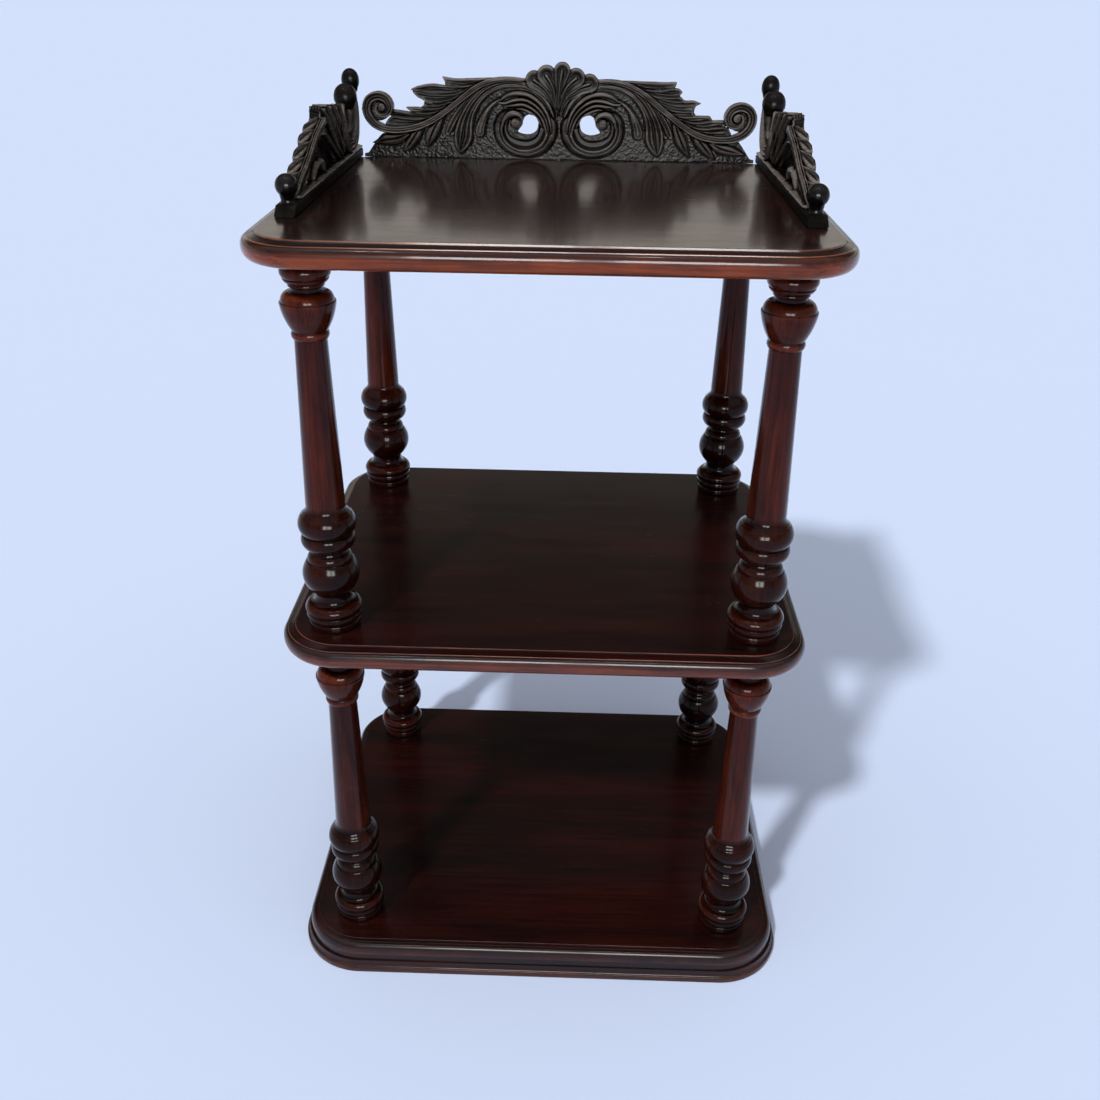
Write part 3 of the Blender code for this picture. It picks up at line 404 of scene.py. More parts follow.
def post(node):
    """A turned post between two shelves, in its node's place."""
    low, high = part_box(node)
    centre = (low + high) / 2
    level = node.split("_")[0]
    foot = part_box("base_board" if level == "lower" else "middle_shelf")[1].z + SEAT
    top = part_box("middle_shelf" if level == "lower" else "top_shelf")[0].z - SEAT
    stretch = (top - foot) / MM / POST_DRAWN_HEIGHT
    widen = (high.x - low.x) / 2 / MM / POST_DRAWN_RADIUS
    profile = [(0.0, POST_START_RADIUS)]
    for height, radius, bulge in POST_MEMBERS:
        profile += bulged(profile[-1], (height, radius), bulge)
    profile = [(h * stretch, r * widen) for h, r in profile]
    return turn(node + "_turned", profile, centre, foot, POST_SIDES, post_dark)


def finial(node):
    """A ball on a short neck."""
    low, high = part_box(node)
    centre = (low + high) / 2
    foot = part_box(node.replace("finial", "gallery_rail"))[1].z + SEAT
    ball = (high.x - low.x) / 2 / MM
    top = (high.z - foot) / MM
    start = -math.acos(FINIAL_NECK_RADIUS / ball)
    profile = [(0.0, FINIAL_FOOT_RADIUS)]
    profile += bulged(profile[-1], (FINIAL_NECK_TOP, FINIAL_NECK_RADIUS), FINIAL_NECK_HOLLOW)
    for step in range(1, BALL_STEPS):
        angle = start + (math.pi / 2 - start) * step / BALL_STEPS
        profile.append((top - ball + ball * math.sin(angle), ball * math.cos(angle)))
    return turn(node + "_ball", profile, centre, foot, FINIAL_SIDES, lambda height: 0.0)


def gallery_rail(node):
    """The rail under a side gallery: a square bar, its front end cut back, its edges softened."""
    low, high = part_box(node)
    middle = (low + high) / 2
    bm = bmesh.new()
    place = Matrix.Translation(middle) @ Matrix.Diagonal((*(high - low), 1))
    bmesh.ops.create_cube(bm, size=1, matrix=place)
    for vert in bm.verts:
        if vert.co.y < middle.y and vert.co.z > middle.z:
            vert.co.y += RAIL_BEVEL * MM
    bmesh.ops.bevel(bm, geom=bm.edges[:], offset=RAIL_ROUND * MM, segments=4, profile=0.5,
                    affect="EDGES")
    wear = bm.verts.layers.float.new("wear")
    for vert in bm.verts:
        vert[wear] = RAIL_WEAR
    return new_object(node + "_bar", mesh_of(bm, node, SHARP_BAR))


# Carving. A relief is drawn in millimetres: u along the gallery, v up from its foot, and a
# height above its back. Members are laid one over another, from the back to the front.
GRID = 0.45
FINE_GRID_SHARE = 0.7
SAMPLE = 0.3
SOFT = 0.5
BLUR_SHARE = 0.6
THINNEST = 0.6
LINE_CHUNK = 3_000_000

# Carving's wear and painted sheen, paler on the ridges: how far round it's compared, and how
# much of it a millimetre of rise gives
SHEEN_AND_WEAR_REACH = 1.8
SHEEN_AND_WEAR_GAIN = 0.45

# Radii of the outlines' front and back edges
BACK_ROUNDS = (1.1, 0.7)
SIDE_ROUNDS = (1.6, 1.4)
LAID_ROUNDS = (0.9, 0.5)


def both_sides(*half):
    """A section that is the same on both sides, from its right half."""
    return (*half, *((-across, rise) for across, rise in reversed(half) if across))


def line_of(points, widths, heights):
    """A stroke's list, from its points (u, v), half widths and heights."""
    return [(*point, width, height) for point, width, height in zip(points, widths, heights)]


# Cross-sections from the right edge (-1) to the left edge (1), as shares of the member's rise
COVE = both_sides((-1, .5), (-.9, .95), (-.82, 1), (-.72, .86), (-.35, .28), (0, .12))
DOUBLE = (
    (-1, .35), (-.88, .9), (-.78, 1), (-.66, .85), (-.4, .3), (-.2, .45), (-.06, .9), (.02, .95),
    (.12, .8), (.38, .3), (.66, .8), (.8, 1), (.9, .9), (1, .4),
)
TREBLE = both_sides(
    (-1, .4), (-.93, .9), (-.88, 1), (-.8, .85), (-.6, .35), (-.42, .8), (-.34, .95), (-.26, .8),
    (0, .3),
)
LEAF = both_sides((-1, 0), (-.93, .35), (-.8, .62), (-.5, .86), (-.2, .92), (-.09, .80), (0, .42))
ROLL = ((-1, 0), (-.9, .45), (-.6, .85), (-.25, 1), (.2, .97), (.6, .78), (.9, .4), (1, 0))
DROP = both_sides((-1, 0), (-.92, .5), (-.8, .85), (-.68, .9), (-.58, .55), (-.48, .85), (-.2, 1))
RING = (
    (-1, 0), (-.95, .3), (-.8, .52), (-.5, .64), (-.28, .6), (-.16, .46), (-.07, .92), (0, 1),
    (.08, .95), (.16, .3), (.5, .08), (1, .06),
)
FLUTE = both_sides(
    (-1, .1), (-.94, .26), (-.84, .32), (-.6, .24), (-.25, .1), (-.14, .3), (-.06, .9), (0, 1),
)
FINGER = both_sides((-1, 0), (-.94, .6), (-.8, .86), (-.4, 1), (-.12, .94), (0, .8))
RIM = ((-1, .3), (-.8, .42), (-.2, .5), (.3, .62), (.62, .92), (.78, 1), (.9, .92), (1, .5))

# The back gallery is drawn from its middle outwards, its two halves apart where they differ.
# In an outline each smooth part starts where the one before it ends.
BACK_HALF_LENGTH = 211
BACK_HEIGHT = 100
BACK_THICKNESS = 12.0
BACK_GROUND = 5.2
BACK_PLATE = (
    ((207, 0), (207, 4)), ((193, 22), (184, 26)),
    ((160, 33), (150, 40), (142, 52), (128, 56), (112, 66), (100, 74), (60, 79), (38, 80)),
    ((30, 82), (20, 86), (8, 90), (-8, 90)), ((-8, 0),),
)

# Lobes of the upper leaf, from the crest down: a height, and the outline's smooth parts
LOBE_HOLLOW = 1.1
LOBE_EDGE = 3.2
LEFT_LOBES = (
    (
        9.0, ((60, 81.6), (90, 81), (110, 80.2), (124.3, 82)), ((121.8, 78), (121, 73)),
        ((100, 68), (70, 72), (34, 78)),
    ),
    (
        9.2, ((104, 73.4), (121, 73.4), (135, 74.8), (150, 72.4), (158.5, 69)),
        ((151, 66), (131, 63), (115, 62), (96, 66)), ((88, 76),),
    ),
    (
        9.0, ((103, 68.8), (115, 65.2), (132, 64.2), (151, 66.8), (156.5, 67.4)),
        ((152.5, 62.5), (147, 59.5), (143.5, 57.5)), ((141, 55), (130, 52), (112, 55), (98, 62)),
        ((90, 74),),
    ),
    (
        8.8, ((105, 62.6), (116, 57.4), (130, 54.3), (141, 54.6), (144.3, 57.2)),
        ((145, 53.5), (148, 51.6)), ((138, 49), (124, 50), (94, 70)),
    ),
    (
        9.0, ((113, 57), (125, 52.2), (140, 50.3), (152, 51.4), (164.5, 51.2)),
        ((157, 46.5), (146, 44.5), (134, 45), (102, 64)),
    ),
    (
        8.6, ((120, 52), (133, 47.6), (146, 46), (160, 46.6), (170, 47.8), (178, 48.6)),
        ((181, 43), (176, 38.5), (164, 37), (150, 37.2), (136, 40), (108, 59)),
    ),
    (
        8.6, ((128, 46.2), (142, 41.6), (154, 40.2), (166, 41), (177, 42.4), (183, 40)),
        ((186, 33), (170, 31), (150, 33), (116, 53)),
    ),
)
RIGHT_LOBES = (
    (
        9.0, ((60, 80.6), (90, 80.4), (110, 80), (123.3, 80.4)), ((122.6, 77), (121, 74)),
        ((100, 68), (70, 72), (34, 78)),
    ),
    (
        9.2, ((92, 73), (108, 73), (121, 74.4), (127, 73.4), (130, 70.4)),
        ((127.6, 68), (128.4, 65)), ((112, 63), (90, 68), (80, 75.4)),
    ),
    (
        9.2, ((97, 68), (112, 65.6), (128, 65.6), (133, 62.4), (142, 62.4), (150.4, 59.8)),
        ((145, 57), (143, 51.6)), ((130, 50), (114, 52), (84, 73)),
    ),
    (
        8.8, ((106, 58.4), (118, 53.6), (131, 51.8), (144, 52.2)), ((142.6, 49.6), (146.4, 46.6)),
        ((134, 44), (120, 46), (94, 66.6)),
    ),
    (
        9.0, ((111, 54), (122, 48.8), (134, 46.4), (148, 47.4), (160.6, 47.4)),
        ((163, 43), (156, 39.6), (142, 39), (128, 41), (100, 62)),
    ),
    (
        8.8, ((120, 48), (134, 42.6), (148, 41), (162, 42.8), (176.4, 43.4)),
        ((178, 37), (168, 33.4), (152, 32.6), (138, 34.8), (108, 56)),
    ),
    (
        8.6, ((128, 42.4), (142, 37), (156, 35.2), (170, 36.4), (181, 36.4)),
        ((184, 28), (170, 25.6), (150, 28), (116, 50)),
    ),
)
VEIN_DEPTH = -0.75
VEIN_WIDTH = 0.55
LEFT_VEINS = (
    ((88, 79.2), (100, 76.4), (112, 77.6), (122, 79.5)),
    ((70, 79), (90, 75.4), (106, 74.6), (120, 76)),
    ((94, 73.4), (106, 69.8), (120, 68.6), (138, 69.4), (155, 69)),
    ((98, 73.4), (112, 70.8), (130, 71.4), (146, 70.6)),
    ((95, 71), (108, 64.4), (122, 60), (138, 59.6), (150, 62.2)),
    ((96, 72), (108, 66.4), (122, 62.4), (140, 62.6), (152, 64.8)),
    ((100, 66.6), (112, 58.6), (126, 53.8), (142, 55)),
    ((106, 62), (118, 54), (132, 49.6), (148, 48.8), (161, 50.4)),
    ((108, 59), (120, 51.4), (134, 47.2), (148, 46.4), (158, 48)),
    ((114, 56), (126, 48.8), (140, 44.9), (154, 44.4), (172, 46.6)),
    ((116, 53.4), (128, 46.8), (142, 42.4), (158, 41.8), (174, 43.4)),
    ((122, 50), (134, 43.2), (148, 39.2), (162, 38), (178, 39)),
    ((126, 46.6), (138, 40.4), (152, 36.4), (166, 35), (180, 35.6)),
)
RIGHT_VEINS = (
    ((72, 79.4), (88, 77), (104, 75.6), (120, 77)), ((66, 79), (84, 74.8), (104, 72), (119, 73.4)),
    ((84, 73.6), (98, 70), (110, 68.6), (120, 68.4), (127.6, 70.4)),
    ((86, 73), (98, 68.6), (110, 66.6), (120, 66.4), (127, 67)),
    ((90, 70.6), (103, 63.6), (117, 59.8), (132, 58.8), (148, 59.6)),
    ((94, 67.6), (106, 60.6), (118, 56.6), (130, 55.2), (142, 56)),
    ((92, 71), (106, 65), (118, 62.8), (130, 62.2), (138, 61)),
    ((98, 64.6), (110, 55.6), (121, 50.8), (132, 49.2), (142, 50.2)),
    ((104, 60), (115, 51.4), (127, 46.2), (140, 44.2), (158, 46)),
    ((108, 57), (119, 48.8), (131, 43.8), (144, 41.6), (158, 42.6)),
    ((112, 54.4), (125, 45.4), (139, 39.8), (154, 38.2), (172, 41.6)),
    ((118, 50), (130, 42.4), (144, 37.2), (158, 36), (174, 38.6)),
    ((124, 46), (136, 38.2), (149, 32.8), (162, 31.4), (178, 32.4)),
    ((130, 41.6), (142, 34), (154, 30), (166, 28.6), (180, 28.8)),
)

# The stem that ends in the outer volute
LEFT_STEM = (
    (30, 79.5), (42, 80.3), (55, 80.6), (68, 79.4), (80, 76), (91, 70.3), (101, 63), (111, 55.4),
    (121, 48), (131, 41.4), (142, 35.6), (153, 31.6), (166, 29), (179, 28.3), (190, 30),
    (199.5, 35), (205, 43), (206, 51.5), (201.8, 59.2), (192.6, 62.2), (184.4, 58.8), (181, 51.5),
    (184, 45.2), (190, 43.6), (194.6, 47.2), (194, 52.6), (190.2, 54),
)
RIGHT_STEM = (
    (30, 79.5), (42, 80), (55, 79.8), (68, 77.6), (80, 73), (91, 66.6), (101, 59.4), (111, 51.8),
    (121, 44.6), (131, 37.6), (141, 31.6), (151, 27.2), (162, 24.6), (174, 23.6), (186, 24.4),
    (197, 29), (204, 36.6), (206, 46), (201.6, 54), (192.4, 57), (183.6, 53.6), (179.6, 46.2),
    (182.4, 39.4), (188.6, 37.6), (193.8, 40.8), (194.4, 46.6), (190.2, 48.6),
)
STEM_WIDTHS = (
    1.0, 1.6, 2.2, 2.6, 2.8, 2.9, 2.9, 2.9, 2.9, 3.0, 3.2, 3.3, 3.4, 3.5, 3.9, 4.3, 4.6, 4.7, 4.7,
    4.5, 4.3, 4.1, 3.6, 3.1, 2.8, 2.5, 2.0,
)
STEM_HEIGHTS = (10.2,) * 4 + (10.8,) * 10 + (11.0,) * 13

# Lower leaves: points and half widths
LEFT_LEAVES = (
    (((125, 44), (133, 32), (138.5, 21), (142, 11.6)), (2, 6, 5.4, .4)),
    (((146, 35.5), (155, 23), (162, 13), (168, 6.2)), (2, 5.8, 4.6, .4)),
    (((163, 24), (174, 20), (187, 17.8), (201.5, 14.4)), (2.5, 7, 5.2, .4)),
)
RIGHT_LEAVES = (
    (((122.6, 44), (127, 31), (133, 18), (141, 5)), (2, 5.2, 5.2, .4)),
    (((143, 32), (152, 21), (160, 12), (168.4, 3.4)), (2, 6, 4.8, .4)),
    (((163, 20), (174, 15), (186, 11.8), (201, 8.4)), (2.5, 6, 4.6, .4)),
)
LEAF_HEIGHTS = (8.8, 9.0, 8.8, 5.8)

# What differs between the halves: lobes, veins, leaves, stem, volute's middle and its eye
BACK_HALVES = {
    "left": (LEFT_LOBES, LEFT_VEINS, LEFT_LEAVES, LEFT_STEM, (193.4, 50.6), (189.3, 50.6)),
    "right": (RIGHT_LOBES, RIGHT_VEINS, RIGHT_LEAVES, RIGHT_STEM, (192.6, 45.6), (189.3, 45.2)),
}
VOLUTE_RADIUS = 13.5

# The folds, the blade and the scroll round each hole, with its tongues
FOLDS = (
    line_of(
        (
            (48, 78.4), (66, 74.8), (81, 68), (92, 58.4), (101, 47.4), (108, 37), (112.4, 29.4),
            (114.6, 25.6),
        ),
        (.8, 1.4, 1.9, 2.3, 2.7, 2.9, 2.8, 2.4), (9.6,) * 7 + (8.8,),
    ),
    line_of(
        (
            (52, 79.6), (69, 77), (83.6, 70.8), (95.6, 61), (105.4, 50), (113, 39), (117.6, 30.4),
            (119.8, 25.6),
        ),
        (.8, 1.4, 1.9, 2.3, 2.6, 2.8, 2.7, 2.3), (9.8,) * 7 + (9.0,),
    ),
)
BLADE = line_of(
    (
        (6, 44), (11, 55), (20, 66), (34, 74), (50, 76.6), (64, 75), (77, 69.4), (88, 59.6),
        (96, 47.6), (100.8, 35), (103, 23), (105.4, 13), (107, 5.6),
    ),
    (1, 1.7, 2.3, 2.8, 3.2, 3.7, 4.2, 4.9, 6, 8, 9.4, 5.6, .4),
    (9.5, 10.2, 10.8, 11.2, 11.4, 11.4, 11.2, 11, 10.8, 10.4, 10.0, 9.2, 5.8),
)
SCROLL = (
    (20, 50, 1, 1.2, 9), (14.6, 43, 3, 6, 9.8), (12.4, 34, 8, 10, 10.4), (13.6, 24.4, 9, 10, 10.4),
    (19, 15.4, 9.6, 9, 10.2), (29, 9.8, 10, 7.6, 10), (40, 8.8, 10.4, 6.6, 10),
    (50.4, 12, 9.6, 7, 10), (58, 18.8, 7.6, 7.6, 10.2), (61.4, 28, 6, 8, 10.4),
    (60.4, 37, 5.2, 8, 10.2), (56.2, 43.6, 4.6, 6.5, 10.6), (49.4, 47, 4, 4, 11),
    (43, 46, 3.2, 2.6, 10.8), (39.4, 41.4, 2.4, 1.6, 10.4), (39.8, 36, 2, 1, 10),
)
SCROLL_END = line_of(
    ((60.8, 33), (59, 40), (54.4, 45), (48.6, 46.6), (43.2, 44.6), (41, 40), (42.6, 36.4)),
    (.8, 2.2, 3.0, 3.4, 3.4, 3.4, 3.4), (9.6, 10.4, 10.9, 11.2, 11.2, 11, 11),
)
SCROLL_EYE = (45.6, 37.4)
TONGUES = (
    line_of(
        ((64, 59), (55, 64.6), (44, 66.8), (32, 64.4), (21, 57), (13.4, 47), (9.6, 36), (8.6, 28)),
        (.4, 2.2, 2.8, 2.8, 2.5, 2.1, 1.6, .8), (9.6, 10.4, 10.8, 10.8, 10.4, 10, 9.6, 8),
    ),
    line_of(
        (
            (66, 57.4), (58, 56.8), (47, 60), (35, 60), (24, 53.6), (16.4, 44.6), (12.2, 34),
            (11.4, 27),
        ),
        (.4, 1.6, 2.2, 2.5, 2.4, 2.0, 1.5, .8), (9.6, 10.2, 10.8, 11, 10.8, 10.4, 10, 8),
    ),
    line_of(
        ((60, 53.6), (50, 54.8), (38, 55.6), (27, 50.6), (19, 42.6), (14.8, 33), (14, 26)),
        (.4, 1.8, 2.3, 2.3, 2.0, 1.5, .8), (9.6, 10.4, 10.8, 10.8, 10.4, 10, 8),
    ),
    line_of(
        ((47, 51.2), (40, 51.4), (30, 47.6), (22.4, 41), (17.8, 33)), (.4, 1.5, 1.9, 1.6, .6),
        (9.4, 10.2, 10.6, 10.2, 8.6),
    ),
)
DROP_LEAF = line_of(
    ((63, 60.6), (70, 56), (77, 48.4), (81.6, 39), (84.4, 31), (85, 27.2)),
    (.5, 1.4, 2.4, 3.8, 4.8, 4.9), (8.6, 8.8, 9, 9.2, 9.4, 9.4),
)

# The shell in the middle, over both halves
SHELL = (
    line_of(
        ((-2.6, 44), (-5, 54), (-8.4, 62), (-13.4, 69.4), (-20, 75.6), (-27, 80)),
        (.6, 2.4, 4.4, 6.4, 8.2, 9.6), (8.6, 9.6, 10.2, 10.6, 10.8, 10.6),
    ),
    line_of(
        ((1.6, 44), (3.4, 54), (7.4, 62.4), (14, 69), (22.4, 74.2), (31.4, 77.2)),
        (.6, 2.4, 4.4, 6.4, 8.4, 9.8), (8.6, 9.6, 10.2, 10.6, 10.8, 10.6),
    ),
    line_of(
        ((-2.4, 46), (-3.8, 58), (-6, 70), (-9.6, 78), (-14, 84.6)), (.6, 2.8, 5.2, 8, 10.4),
        (8.8, 10, 10.8, 11.2, 11.2),
    ),
    line_of(
        ((.8, 46), (2, 58), (5, 69), (10.6, 77), (17, 82.4)), (.6, 2.8, 5.2, 7.8, 10),
        (8.8, 10, 10.8, 11.2, 11.2),
    ),
    line_of(
        ((-1, 46), (-.8, 60), (.4, 76), (2.4, 89.4)), (.6, 2.8, 5.2, 8.8), (9, 10.4, 11.4, 11.8),
    ),
)
SHELL_RIBS = (
    ((-1.2, 60), (0, 74), (1.2, 84), (1.6, 94)), ((.6, 60), (2, 74), (3.6, 84), (4.6, 94)),
)
PIERCING = (
    (22, 38), (24.6, 43.6), (30, 46), (35.6, 44.4), (38.4, 40), (39.4, 35), (43, 30.6), (44, 28),
    (38, 25.8), (30, 26), (24, 30),
)
PUNCH_SEED = 11
PUNCH_DEPTH = 0.11
PUNCH_LIMIT = 1.6

# Side galleries: u from the rear end forwards, v up from the rail, height above the outer face
SIDE_LENGTH = 300
SIDE_HEIGHT = 80.8
SIDE_THICKNESS = 17.3
SIDE_GROUND = 9.6
SIDE_PLATE = (
    ((297, 0), (295, 7)), ((289, 13), (282, 16)),
    ((268, 20.5), (251, 26.5), (234, 34), (214, 41), (196, 45.5)), ((184, 48.4), (178, 52)),
    ((176.4, 55), (177.5, 57.6)), ((174, 59), (168, 58.6)), ((163, 61), (155, 60.6), (149, 57.4)),
    ((141, 59.2), (130, 57.6), (124, 53.6)), ((114, 55.8), (102, 54.2), (94, 50)),
    ((84, 52.6), (72, 52), (62, 48)), ((46, 53), (28, 54)),
    ((22, 58), (16, 62), (6, 66), (1.2, 64)), ((0, 30), (0, 0)),
)
SIDE_FOOT = line_of(((-3, 1.4), (60, 1.4), (180, 1.4), (296, 1.4)), (2,) * 4, (16.6,) * 4)
SIDE_POCKET = (
    (265, 3), (246, 20.6), (223, 33.6), (197, 37.6), (170.6, 32), (148, 22.4), (122, 3), (190, 1),
)
POCKET_GROUND = 5.0
POCKET_SLOPE = 2.5
SIDE_FOLDS = (
    line_of(
        ((168, 59), (157, 52), (141, 38.6), (122, 24), (101, 12), (88, 5)),
        (4.4, 6, 7, 6.4, 4.6, 1.8), (16, 17, 17.2, 16.6, 15.6, 12),
    ),
    line_of(
        ((143, 57.6), (133, 49.6), (119, 38), (103, 25.6), (88, 14), (78, 6)),
        (5, 6.6, 7.4, 6.6, 4.8, 1.8), (16.2, 17.2, 17.2, 16.6, 15.6, 12),
    ),
    line_of(
        ((115, 54.6), (107, 47), (98, 37.6), (89, 27), (82, 18)), (5.6, 7, 7, 5.6, 2.4),
        (16.2, 17.2, 17.2, 16.4, 13),
    ),
)
SIDE_ARCH = (
    (294, 4, 1.5, 3, 13), (280, 8, 2.4, 6, 15), (262, 17, 2.6, 8, 16.4), (240, 30.6, 2.6, 8, 16.8),
    (214, 40, 2.6, 8, 17), (188, 40.6, 2.6, 9, 17), (166, 35, 2.6, 7, 16.8),
    (144, 24.6, 2.6, 4, 16.4), (122, 14, 2.4, 3, 15.6), (100, 4.6, 1.6, 2, 13),
)
SIDE_SCROLL = (
    (77, 51, 2, 2, 15.6), (82, 40, 5, 5, 16.6), (79, 25, 7, 6, 17.2), (64, 12.6, 8, 6, 17.2),
    (41, 10.6, 8, 6, 17.2), (22, 20, 8, 7, 17.2), (15, 38, 7, 6, 17), (14, 54, 5, 4, 16),
)
SIDE_DROP = (
    (34, 60, 4, 4, 15), (38, 50, 9, 9, 17.2), (43, 40, 9, 8, 17.2), (50, 30, 6, 5, 16.6),
    (57, 24, 2, 2, 14.6),
)
SIDE_CURLS = (
    line_of(((221, 3), (214, 10), (206, 14), (199, 13)), (2.4, 4.2, 3.6, 1), (11, 12.6, 13, 11)),
    line_of(((173, 3), (180, 10), (188, 14), (195, 13)), (2.4, 4.2, 3.6, 1), (11, 12.6, 13, 11)),
)

# Lobes on top of a side gallery's scroll: (u, v, half sizes across, along and up, how much
# narrower the foot is, how far the foot leans back)
SIDE_LOBES = (
    (41.5, 54.2, 13.4, 13.0, 14.6, 0.22, -1.0),
    (10.0, 66.8, 10.6, 9.6, 13.8, 0.25, 0.6),
)
LOBE_SEGMENTS = (48, 32)
# Of the seam round a lobe: its depth, height and width, as shares of the lobe's half sizes
LOBE_SEAM = (0.06, -0.35, 0.12)
# Wear and painted sheen of a lobe at its middle, and how much more at its top
LOBE_SHEEN_AND_WEAR = (0.40, 0.12)

# The leaf that lies over a side gallery's front slope, and the fluted tip of its crest, are
# each drawn flat: u along a path over the edge, v across the thickness from the inner side
LAID_GROUND = 1.6
LEAF_PATH = (
    (299.4, 0.6), (297.6, 7.5), (292.0, 14.0), (283.4, 18.8), (268.4, 24.0), (251.4, 30.4),
    (234.4, 37.6), (218.2, 43.6), (204.0, 47.4), (190.0, 50.8), (180.0, 53.4),
)
LEAF_LENGTH = 134.0
LEAF_TOP = 6.0
LEAF_TIPS = (8.0, 31.0, 56.0, 82.0, 106.0)
LEAF_RIB = (
    (LEAF_LENGTH, 3.4, 2.6, 6.3), (106, 3.0, 2.7, 6.3), (76, 3.0, 2.7, 6.3), (50, 3.2, 2.7, 6.3),
    (26, 3.8, 2.6, 6.2), (11, 4.8, 2.2, 6.0), (2, 6.2, .8, 4.2),
)
CREST_PATH = (
    (192.0, 48.2), (182.0, 50.2), (177.0, 52.8), (175.4, 56.4), (177.0, 60.0), (170.0, 60.8),
    (161.0, 60.0),
)
CREST_LENGTH = 42.0
CREST_TOP = 4.2
CREST_FLUTES = (7.8, 10.4, 13.0, 15.6)


def curve(points):
    """A smooth line through drawn points, sampled along its length."""
    p = np.array(points, float)
    ends = np.vstack([2 * p[0] - p[1], p, 2 * p[-1] - p[-2]])
    out = []
    for a, b, c, d in zip(ends, ends[1:], ends[2:], ends[3:]):
        count = max(2, int(np.hypot(*(c[:2] - b[:2])) / SAMPLE))
        t = (np.arange(count) / count)[:, None]
        out.append(0.5 * (2 * b + (c - a) * t + (2 * a - 5 * b + 4 * c - d) * t ** 2
                          + (3 * b - a - 3 * c + d) * t ** 3))
    out.append(p[-1:])
    return np.vstack(out)


def outlined(parts):
    """A closed outline from its smooth parts, each from where the one before it ends."""
    start = parts[-1][-1]
    lines = []
    for part in parts:
        lines.append(curve((start, *part))[:-1])
        start = part[-1]
    return np.vstack(lines)


def closed(points):
    """A closed outline, smooth apart from its first point."""
    return curve((*points, points[0]))[:-1]


def blur(field, cells):
    """A box blur, twice, over so many cells each way."""
    width = 2 * cells + 1
    for _ in range(2):
        for axis in (0, 1):
            pad = [(cells, cells) if k == axis else (0, 0) for k in (0, 1)]
            total = np.cumsum(np.pad(field, pad, mode="edge"), axis=axis)
            total = np.insert(total, 0, 0, axis=axis)
            size = total.shape[axis]
            field = (np.take(total, range(width, size), axis)
                     - np.take(total, range(size - width), axis)) / width
    return field


